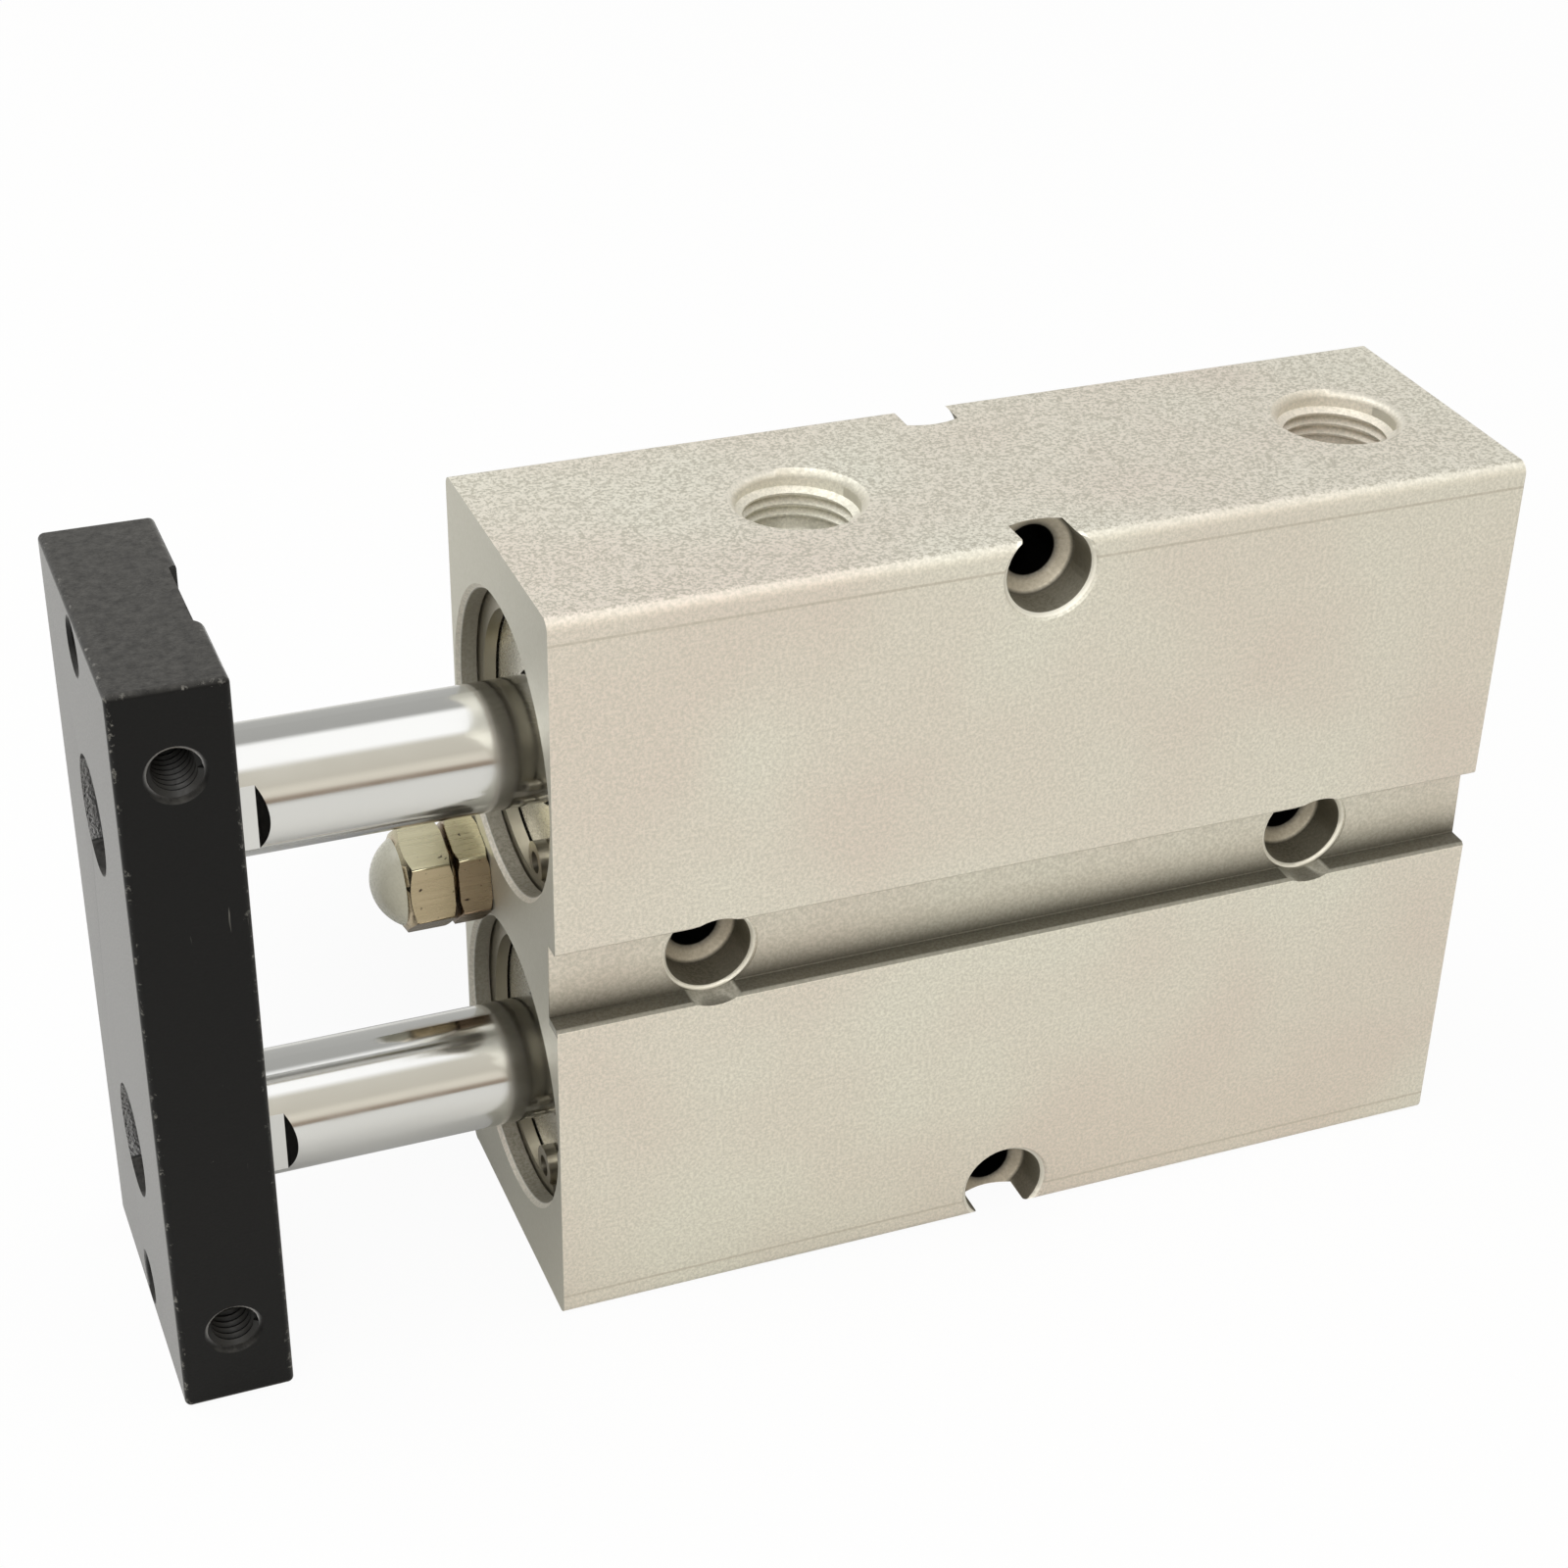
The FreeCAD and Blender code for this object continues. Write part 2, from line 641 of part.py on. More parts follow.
def lip_seal(doc, label, first, width, inner, height, place):
    """Lip seal: a ring with a notch between its two lips, open towards the pressure."""
    last, outer = f"{first} + {width}", f"{inner} + {height}"
    return turned(doc, label, [
        (first, inner),
        (last, inner),
        (f"{last} - seal_notch", f"({inner} + {outer}) / 2"),
        (last, outer),
        (first, outer),
    ], place)


def make_circlip(doc, label, groove, side):
    """Internal circlip, thinner towards its gap, with an eye in each lug."""
    outer = "clip_radius - clip_play / 2"
    inner = f"{outer} - clip_band + clip_offset"
    ring = combine(
        doc, "Part::Cut", label + "_ring",
        disc(doc, label + "_blank", outer, "clip_thickness"),
        disc(doc, label + "_hole", inner, "clip_thickness", ("0", "0", "0 - clip_offset")),
    )
    gap = doc.addObject("Part::Box", label + "_gap")
    gap.setExpression("Length", bind("clip_thickness"))
    gap.setExpression("Width", bind("clip_gap"))
    gap.setExpression("Height", bind(outer))
    put(gap, (None, "0 - clip_gap / 2", f"0 - ({outer})"))
    piece = combine(doc, "Part::Cut", label + "_open", ring, gap)
    lug_y = "(clip_gap + clip_lug) / 2"
    lug_z = f"sqrt((seat_radius - clip_lug / 2 - clip_play) ^ 2 - ({lug_y}) ^ 2)"
    for name, sign in (("left", "0 -"), ("right", "0 +")):
        centre = ("0", f"{sign} {lug_y}", f"0 - {lug_z}")
        lug = disc(doc, f"{label}_{name}_lug", "clip_lug / 2", "clip_thickness", centre)
        eye = disc(doc, f"{label}_{name}_eye", "clip_eye / 2", "clip_thickness", centre)
        piece = combine(doc, "Part::Fuse", f"{label}_{name}_joined", piece, lug)
        piece = combine(doc, "Part::Cut", f"{label}_{name}_drilled", piece, eye)
    piece.Label = label
    turn_piece(piece, "clip_turn")
    put(piece, (f"front_face + {groove} + clip_play / 2", None, SIDES[side]))
    doc.recompute()
    return piece


def make_stop(doc):
    """Stop bolt with its bumper, and its lock nut."""
    centre = ("stop_offset", "stop_height")
    thread = "stop_thread / 2"
    corner = "stop_flats / 2 / cos(30 deg)"
    nut_bore = f"{thread} + fit_gap"
    blank = turned(doc, "lock_nut_blank", [
        ("0 - lock_nut_height", nut_bore),
        ("0 - lock_nut_height", f"{corner} - nut_chamfer"),
        ("0 - lock_nut_height + nut_chamfer * tan(30 deg)", corner),
        ("0 - nut_chamfer * tan(30 deg)", corner),
        ("0", f"{corner} - nut_chamfer"),
        ("0", nut_bore),
    ], None)
    bar = hexagon_bar(doc, "lock_nut_bar", "stop_flats", "lock_nut_height",
                      ("0 - lock_nut_height", None, None))
    nut = combine(doc, "Part::Common", "lock_nut", bar, blank, ("front_face", *centre), "nut_turn")

    under_head = "0 - lock_nut_height - stop_neck"
    head_front = f"{under_head} - stop_head_height"
    plug = "stop_plug / 2"
    head_blank = turned(doc, "stop_bolt_blank", [
        (f"{head_front} + stop_plug_depth", "0"),
        (f"{head_front} + stop_plug_depth", plug),
        (head_front, plug),
        (head_front, "stop_dome_base / 2 + fit_gap"),
        (f"{head_front} + ({corner} - stop_dome_base / 2) * tan(30 deg)", corner),
        (f"{under_head} - nut_chamfer * tan(30 deg)", corner),
        (under_head, f"{corner} - nut_chamfer"),
        (under_head, f"{thread} - fit_gap"),
        ("stop_engagement - tap_chamfer", f"{thread} - fit_gap"),
        ("stop_engagement", f"{thread} - fit_gap - tap_chamfer"),
        ("stop_engagement", "0"),
    ], None)
    head_bar = hexagon_bar(doc, "stop_bolt_bar", "stop_flats",
                           "stop_reach + stop_engagement", ("0 - stop_reach", None, None))
    bolt = combine(doc, "Part::Common", "stop_bolt", head_bar, head_blank,
                   ("front_face", *centre), "head_turn")
    return [nut, bolt, make_stop_bumper(doc, head_front, centre)]


def make_stop_bumper(doc, seat, centre):
    """Domed bumper with a plug that presses into the stop bolt's head."""
    label = "stop_bumper"
    body = new_body(doc, label, ("front_face", *centre))
    sketch = new_sketch(body, label + "_profile", "XZ_Plane")
    plug = "stop_plug / 2 - fit_gap"
    plug_end = f"{seat} + stop_plug_depth - fit_gap"
    points = [("0 - stop_reach", "0"), (plug_end, "0"), (plug_end, plug), (seat, plug),
              (seat, "stop_dome_base / 2")]
    spots = [spot(sketch, place) for place in points]
    lines = [Part.LineSegment(spots[i], spots[i + 1]) for i in range(len(points) - 1)]
    middle = spot(sketch, ("dome_radius - stop_reach", "0"))
    rim = spots[-1] - middle
    circle = Part.Circle(middle, UPWARDS, rim.Length)
    dome = Part.ArcOfCircle(circle, math.atan2(rim.y, rim.x), math.pi)
    sketch.addGeometry([*lines, dome])
    last = len(lines)
    for i in range(last - 1):
        sketch.addConstraint(Sketcher.Constraint("Coincident", i, 2, i + 1, 1))
    # The arc runs from the rim to the tip, and its centre, point 3, stays on the axis, -1.
    sketch.addConstraint(Sketcher.Constraint("Coincident", last, 1, last - 1, 2))
    sketch.addConstraint(Sketcher.Constraint("Coincident", last, 2, 0, 1))
    sketch.addConstraint(Sketcher.Constraint("PointOnObject", last, 3, -1))
    for i, place in enumerate(points[:-1]):
        fix_point(sketch, i, 1, place)
    fix_point(sketch, last - 1, 2, points[-1])
    turn = body.newObject("PartDesign::Revolution", label + "_turned")
    turn.Profile = sketch
    turn.ReferenceAxis = (sketch, ["H_Axis"])
    turn.Angle = 360
    doc.recompute()
    return body


# ---- the moving group -------------------------------------------------------------------


def make_end_plate(doc):
    """End plate that ties the two rods together."""
    body = new_body(doc, "end_plate", ("front_face", None, "middle_z"))
    half, tall = "plate_width / 2", "plate_height / 2"
    block(body, "blank", "XZ_Plane", [
        ("plate_outer", f"0 - {tall}"), ("0 - plate_gap", f"0 - {tall}"),
        ("0 - plate_gap", tall), ("plate_outer", tall),
    ], "plate_width", symmetric=True)
    round_edges(body, "edges", "plate_round", "xyz")
    floor = "rod_flat / 2 + running_gap"
    mouth = f"{floor} + seat_slope"
    rise = "overcut * seat_slope / seat_depth"
    slot_cut(body, "rod_seat", "XY_Plane", [
        ("0 - plate_gap - seat_depth", f"0 - ({floor})"),
        ("0 - plate_gap + overcut", f"0 - ({mouth} + {rise})"),
        ("0 - plate_gap + overcut", f"{mouth} + {rise}"),
        ("0 - plate_gap - seat_depth", floor),
    ])
    screw = "plate_screw / 2 + fit_gap"
    for side, sign in (("upper", ""), ("lower", "0 - ")):
        round_cut(body, f"{side}_screw_hole", "X", ("0", f"{sign}rod_spacing / 2"), [
            ("plate_outer - overcut", "screw_bore_radius"),
            ("screw_seat", "screw_bore_radius"),
            ("screw_seat", screw),
            ("0 - plate_gap", screw),
        ])
        round_cut(body, f"{side}_front_tap", "X", ("0", f"{sign}({tall} - front_tap_inset)"), [
            ("plate_outer - overcut", "tap_diameter / 2 + tap_chamfer + overcut"),
            ("plate_outer + tap_chamfer", "tap_diameter / 2"),
            ("0 - plate_gap", "tap_diameter / 2"),
        ])
        for name, face in (("near", "0 -"), ("far", "0 +")):
            centre = ("plate_outer + plate_thickness / 2", f"{sign}({tall} - side_tap_inset)")
            round_cut(body, f"{side}_{name}_tap", "Y", centre, [
                (f"{face} ({half} + overcut)", "tap_diameter / 2 + tap_chamfer + overcut"),
                (f"{face} ({half} - tap_chamfer)", "tap_diameter / 2"),
                (f"{face} ({half} - tap_depth)", "tap_diameter / 2"),
            ])
    return body


def make_rod(doc, side):
    """Guide rod: tapped and flatted at the plate, with a thinner tail for the piston."""
    label = f"guide_rod_{side}"
    tail = "rod_tail_diameter / 2"
    body = turned(doc, label, [
        ("rod_front + rod_thread_depth", "0"),
        ("rod_front + rod_thread_depth", "plate_screw / 2"),
        ("rod_front", "plate_screw / 2"),
        ("rod_front", "rod_radius - rod_chamfer"),
        ("rod_front + rod_chamfer", "rod_radius"),
        ("piston_front", "rod_radius"),
        ("piston_front", tail),
        ("rod_tail", tail),
        ("rod_tail", "0"),
    ], bore_place(side))
    shoulder = "0 - plate_gap + rod_flat_length"
    for name, sign in (("near", "0 -"), ("far", "0 +")):
        slot_cut(body, f"{name}_flat", "XY_Plane", [
            ("rod_front - overcut", f"{sign} rod_flat / 2"),
            (shoulder, f"{sign} rod_flat / 2"),
            (f"{shoulder} + rod_flat_depth + overcut", f"{sign} (rod_radius + overcut)"),
            ("rod_front - overcut", f"{sign} (rod_radius + overcut)"),
        ])
    return body


def make_plate_screw(doc, side):
    """Socket-head screw that pulls a rod against the end plate."""
    label = f"plate_screw_{side}"
    head, shank = "plate_screw_head / 2", "plate_screw / 2 - fit_gap"
    top = "screw_seat - plate_screw_head_height"
    blank = turned(doc, label + "_blank", [
        (top, "0"),
        (top, f"{head} - tap_chamfer"),
        (f"{top} + tap_chamfer", head),
        ("screw_seat", head),
        ("screw_seat", shank),
        ("screw_seat + plate_screw_length", shank),
        ("screw_seat + plate_screw_length", "0"),
    ], None)
    socket = hexagon_bar(doc, label + "_socket", "plate_screw_socket",
                         "plate_screw_socket_depth + overcut", (f"{top} - overcut", None, None))
    return combine(doc, "Part::Cut", label, blank, socket, bore_place(side))


def make_piston(doc, side):
    """Piston with grooves for its wear ring and seal."""
    wear = ("wear_ring_place", "wear_ring_width", "wear_ring_wall")
    seal = ("piston_seal_place", "piston_seal_width", "piston_seal_height")
    grooves = []
    for start, width, height in (seal, wear):
        floor = f"piston_bore / 2 - running_gap - {height} - fit_gap"
        first = f"piston_front + {start} - fit_gap"
        last = f"piston_front + {start} + {width} + fit_gap"
        grooves += [(last, "piston_radius"), (last, floor), (first, floor), (first, "piston_radius")]
    return turned(doc, f"piston_{side}", [
        ("piston_front", "piston_hole"),
        ("magnet_front", "piston_hole"),
        ("magnet_front", "piston_radius - piston_chamfer"),
        ("magnet_front - piston_chamfer", "piston_radius"),
        *grooves,
        ("piston_front + piston_chamfer", "piston_radius"),
        ("piston_front", "piston_radius - piston_chamfer"),
    ], bore_place(side))


def make_piston_rings(doc, side):
    """Wear ring, seal, magnet, magnet washer and bumper round one piston."""
    place = bore_place(side)
    outer = "piston_bore / 2 - running_gap"
    wear = "piston_front + wear_ring_place"
    return [
        turned(doc, f"wear_ring_{side}",
               tube(wear, f"{wear} + wear_ring_width", f"{outer} - wear_ring_wall", outer), place),
        lip_seal(doc, f"piston_seal_{side}", "piston_front + piston_seal_place",
                 "piston_seal_width", f"{outer} - piston_seal_height", "piston_seal_height", place),
        turned(doc, f"magnet_{side}",
               tube("magnet_front", "retainer_front", "piston_hole", "magnet_diameter / 2"), place),
        turned(doc, f"magnet_washer_{side}",
               tube("retainer_front", "piston_nut_front", "piston_hole",
                    "piston_radius - piston_chamfer"), place),
        turned(doc, f"piston_bumper_{side}",
               tube("piston_front - bumper_length", "piston_front",
                    "rod_radius + fit_gap", "bumper_diameter / 2"), place),
    ]


def make_piston_nut(doc, side):
    """Nut that clamps the piston on the rod's tail."""
    label = f"piston_nut_{side}"
    corner = "piston_nut_flats / 2 / cos(30 deg)"
    last = "piston_nut_front + piston_nut_height"
    blank = turned(doc, label + "_blank", [
        ("piston_nut_front", "piston_hole"),
        (last, "piston_hole"),
        (last, f"{corner} - nut_chamfer"),
        (f"{last} - nut_chamfer * tan(30 deg)", corner),
        ("piston_nut_front", corner),
    ], None)
    bar = hexagon_bar(doc, label + "_bar", "piston_nut_flats", "piston_nut_height",
                      ("piston_nut_front", None, None))
    return combine(doc, "Part::Common", label, bar, blank, bore_place(side))


# ---- the whole cylinder -----------------------------------------------------------------


def make_bore_pieces(doc, side):
    """Every piece that one bore holds, front to rear."""
    place = bore_place(side)
    inner = "rod_radius + running_gap"
    rear_face = "rear_step - rear_bumper_length"
    return [
        make_circlip(doc, f"front_circlip_{side}", "front_recess", side),
        make_rod_cover(doc, side),
        lip_seal(doc, f"rod_seal_{side}", "seal_front", "rod_seal_width - fit_gap",
                 inner, "rod_seal_height - fit_gap", place),
        turned(doc, f"rod_bush_{side}",
               tube("bush_front", "nose_end", inner, "bush_radius - fit_gap"), place),
        make_o_ring(doc, f"front_o_ring_{side}", "cover_step - ring_inset", side),
        make_rear_cover(doc, side),
        make_o_ring(doc, f"rear_o_ring_{side}", "rear_step + ring_inset", side),
        turned(doc, f"rear_bumper_{side}", [
            (rear_face, "0"), ("rear_step", "0"),
            ("rear_step", "rear_bumper_diameter / 2"), (rear_face, "rear_bumper_diameter / 2"),
        ], place),
        make_circlip(doc, f"rear_circlip_{side}", "rear_clip_front", side),
    ]


def make_rod_pieces(doc, side):
    """Every piece that moves with one rod, plate end first."""
    return [
        make_plate_screw(doc, side),
        make_rod(doc, side),
        make_piston(doc, side),
        *make_piston_rings(doc, side),
        make_piston_nut(doc, side),
    ]


def check(doc, pieces):
    """Stop if an object failed to compute or a piece has no valid solid."""
    failed = [o.Name for o in doc.Objects if {"Invalid", "Error"} & set(o.State)]
    if failed:
        raise RuntimeError(f"failed objects: {failed}")
    for piece in pieces:
        shape = piece.Shape
        if shape.isNull() or not shape.isValid() or len(shape.Solids) != 1:
            raise RuntimeError(f"{piece.Label} is not one valid solid")


def main():
    """Build the document, check it and write one STEP file for each piece."""
    doc = FreeCAD.newDocument("guided_cylinder")
    make_sheet(doc)
    pieces = [make_body(doc), *make_stop(doc), make_end_plate(doc)]
    for side in SIDES:
        pieces += make_bore_pieces(doc, side)
        pieces += make_rod_pieces(doc, side)
    doc.recompute()
    check(doc, pieces)
    os.makedirs("parts", exist_ok=True)
    for piece in pieces:
        piece.Shape.exportStep(os.path.join("parts", piece.Label + ".step"))
        print(piece.Label, round(piece.Shape.Volume, 2))


main()
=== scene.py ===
"""Dresses a guided twin-rod pneumatic cylinder: its housing, end plate, rods, covers and stop screw.

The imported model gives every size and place. This script adds the finishes, the cut threads, the eased
edges, and a plain studio to see them in. Lengths are metres unless a name ends in _mm.
"""

from __future__ import annotations

import json
import logging
import math
from dataclasses import dataclass, field
from enum import Enum

import bmesh
import bpy
from mathutils import Matrix, Vector


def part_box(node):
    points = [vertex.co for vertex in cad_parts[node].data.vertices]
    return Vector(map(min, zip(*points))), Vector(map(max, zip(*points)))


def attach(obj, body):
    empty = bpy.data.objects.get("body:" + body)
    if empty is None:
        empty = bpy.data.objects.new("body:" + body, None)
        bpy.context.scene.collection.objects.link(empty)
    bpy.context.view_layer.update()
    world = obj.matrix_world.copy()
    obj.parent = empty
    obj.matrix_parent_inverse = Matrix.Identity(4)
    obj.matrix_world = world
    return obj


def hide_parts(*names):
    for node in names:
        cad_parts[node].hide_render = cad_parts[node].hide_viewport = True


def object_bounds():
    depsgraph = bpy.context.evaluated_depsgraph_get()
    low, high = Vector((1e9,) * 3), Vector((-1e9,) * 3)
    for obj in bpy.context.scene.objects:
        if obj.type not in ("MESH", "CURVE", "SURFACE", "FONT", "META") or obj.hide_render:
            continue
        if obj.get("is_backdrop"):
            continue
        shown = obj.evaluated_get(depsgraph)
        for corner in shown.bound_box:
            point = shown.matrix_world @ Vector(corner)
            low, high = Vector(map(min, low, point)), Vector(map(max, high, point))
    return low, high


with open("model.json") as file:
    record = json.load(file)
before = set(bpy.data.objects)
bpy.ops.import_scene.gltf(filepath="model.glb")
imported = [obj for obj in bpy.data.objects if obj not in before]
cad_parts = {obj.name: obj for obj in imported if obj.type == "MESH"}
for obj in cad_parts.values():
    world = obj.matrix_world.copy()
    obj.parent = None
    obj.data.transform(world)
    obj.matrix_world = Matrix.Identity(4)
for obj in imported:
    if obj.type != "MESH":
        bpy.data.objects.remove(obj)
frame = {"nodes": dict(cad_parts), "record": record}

log = logging.getLogger("cylinder")

MM = 0.001
MERGE_DISTANCE = 1e-6
# A Wave texture repeats every tau / 20 of its scaled length.
WAVE_SCALE = math.tau / 20

# One stop of a run of tones: a distance in mm or a share of the way, the colour there, and how much of it there is.
Tone = tuple[float, str, float]
# Where a tone lies, and the tone.
Shade = tuple[bpy.types.NodeSocket, bpy.types.NodeSocket]


# ---- small helpers


def linear(code: str) -> tuple[float, float, float, float]:
    """Turns an sRGB hex colour into the linear colour that a shader takes.

    Args:
        code: the colour, such as "#D7D0C0".

    Returns:
        Linear red, green and blue, and an alpha of one.
    """
    parts = [int(code[i:i + 2], 16) / 255 for i in (1, 3, 5)]
    red, green, blue = (p / 12.92 if p <= 0.04045 else ((p + 0.055) / 1.055) ** 2.4 for p in parts)
    return red, green, blue, 1.0


def add_node(tree: bpy.types.NodeTree, kind: str, inputs: dict | None = None,
             **settings: object) -> bpy.types.Node:
    """Adds a node with its settings, and fills or links its inputs.

    Args:
        tree: the node tree to add to.
        kind: the node's type, without the ShaderNode in front.
        inputs: what each input gets, by name or number: a plain value, or another node's output.
        **settings: the node's own properties.

    Returns:
        The new node.
    """
    node = tree.nodes.new("ShaderNode" + kind)
    for name, value in settings.items():
        setattr(node, name, value)
    for key, value in (inputs or {}).items():
        if isinstance(value, bpy.types.NodeSocket):
            tree.links.new(value, node.inputs[key])
        else:
            node.inputs[key].default_value = value
    return node


def per_metre(size_mm: float) -> float:
    """Returns the texture scale that makes one cell of a pattern size_mm wide."""
    return 1.0 / (size_mm * MM)


def mount(name: str) -> dict:
    """Returns the record's mount of that name."""
    return next(m for m in frame["record"]["mounts"] if m["name"] == name)


def set_out(mesh: bmesh.types.BMesh, name: str) -> bpy.types.Object:
    """Turns a finished mesh into an object in the scene.

    Args:
        mesh: the shape, which is used up.
        name: the object's name.

    Returns:
        The new object.
    """
    piece = bpy.data.objects.new(name, bpy.data.meshes.new(name))
    mesh.to_mesh(piece.data)
    mesh.free()
    bpy.context.scene.collection.objects.link(piece)
    return piece


class Bodies(Enum):
    """The two halves of the machine: what stands still, and what slides."""

    CYLINDER = "cylinder"
    CARRIAGE = "carriage"


class Side(Enum):
    """The two rods of the pair."""

    UPPER = "upper"
    LOWER = "lower"


# ---- finishes


@dataclass(frozen=True)
class Finish:
    """A surface: what it is made of, how it was made, and how it takes light.

    Real grain is mostly finer than 0.1 mm. It wouldn't show at the size of this object, so it is drawn coarser.
    """

    name: str
    colour: str
    roughness: float
    metallic: float = 1.0

    def material(self) -> bpy.types.Material:
        """Makes the finish as a material, once, and then shares it.

        Returns:
            The material.
        """
        known = bpy.data.materials.get(self.name)
        if known:
            return known
        made = bpy.data.materials.new(self.name)
        made.use_nodes = True
        shader = made.node_tree.nodes["Principled BSDF"]
        shader.inputs["Base Color"].default_value = linear(self.colour)
        shader.inputs["Roughness"].default_value = self.roughness
        shader.inputs["Metallic"].default_value = self.metallic
        self.pattern(made.node_tree, shader)
        return made

    def pattern(self, tree: bpy.types.NodeTree, shader: bpy.types.Node) -> None:
        """Adds the finish's own pattern; a plain finish has a fine grain only."""
        self.grain(tree, shader, size_mm=0.3, spread=0.06, height_mm=0.004)

    def place(self, tree: bpy.types.NodeTree) -> bpy.types.NodeSocket:
        """Returns the point on the piece, in metres."""
        return add_node(tree, "TexCoord").outputs["Object"]

    def away(self, tree: bpy.types.NodeTree, axis: str | int, middle: float) -> bpy.types.NodeSocket:
        """Measures how far a point lies from a middle along one axis, to either side.

        Args:
            tree: the material's nodes.
            axis: the axis, by name or number.
            middle: where the middle is, in metres.

        Returns:
            The distance in metres.
        """
        value = add_node(tree, "SeparateXYZ", {"Vector": self.place(tree)}).outputs[axis]
        off = add_node(tree, "Math", {0: value, 1: middle}, operation="SUBTRACT")
        return add_node(tree, "Math", {0: off.outputs[0]}, operation="ABSOLUTE").outputs[0]

    def grain(self, tree: bpy.types.NodeTree, shader: bpy.types.Node, size_mm: float, spread: float,
              height_mm: float) -> bpy.types.Node:
        """Roughens a surface with an even grain.

        Args:
            tree: the material's nodes.
            shader: the surface shader.
            size_mm: the width of one grain.
            spread: how far the roughness swings to each side.
            height_mm: how far the grains stand up.

        Returns:
            The bump node, for more relief to be added to.
        """
        cells = add_node(tree, "TexNoise", {"Vector": self.place(tree), "Scale": per_metre(size_mm), "Detail": 3.0})
        swing = add_node(tree, "MapRange", {"Value": cells.outputs["Fac"], "From Min": 0.3, "From Max": 0.7,
                                            "To Min": self.roughness - spread, "To Max": self.roughness + spread})
        tree.links.new(swing.outputs["Result"], shader.inputs["Roughness"])
        bump = add_node(tree, "Bump", {"Height": cells.outputs["Fac"], "Distance": height_mm * MM, "Strength": 1.0})
        tree.links.new(bump.outputs["Normal"], shader.inputs["Normal"])
        return bump


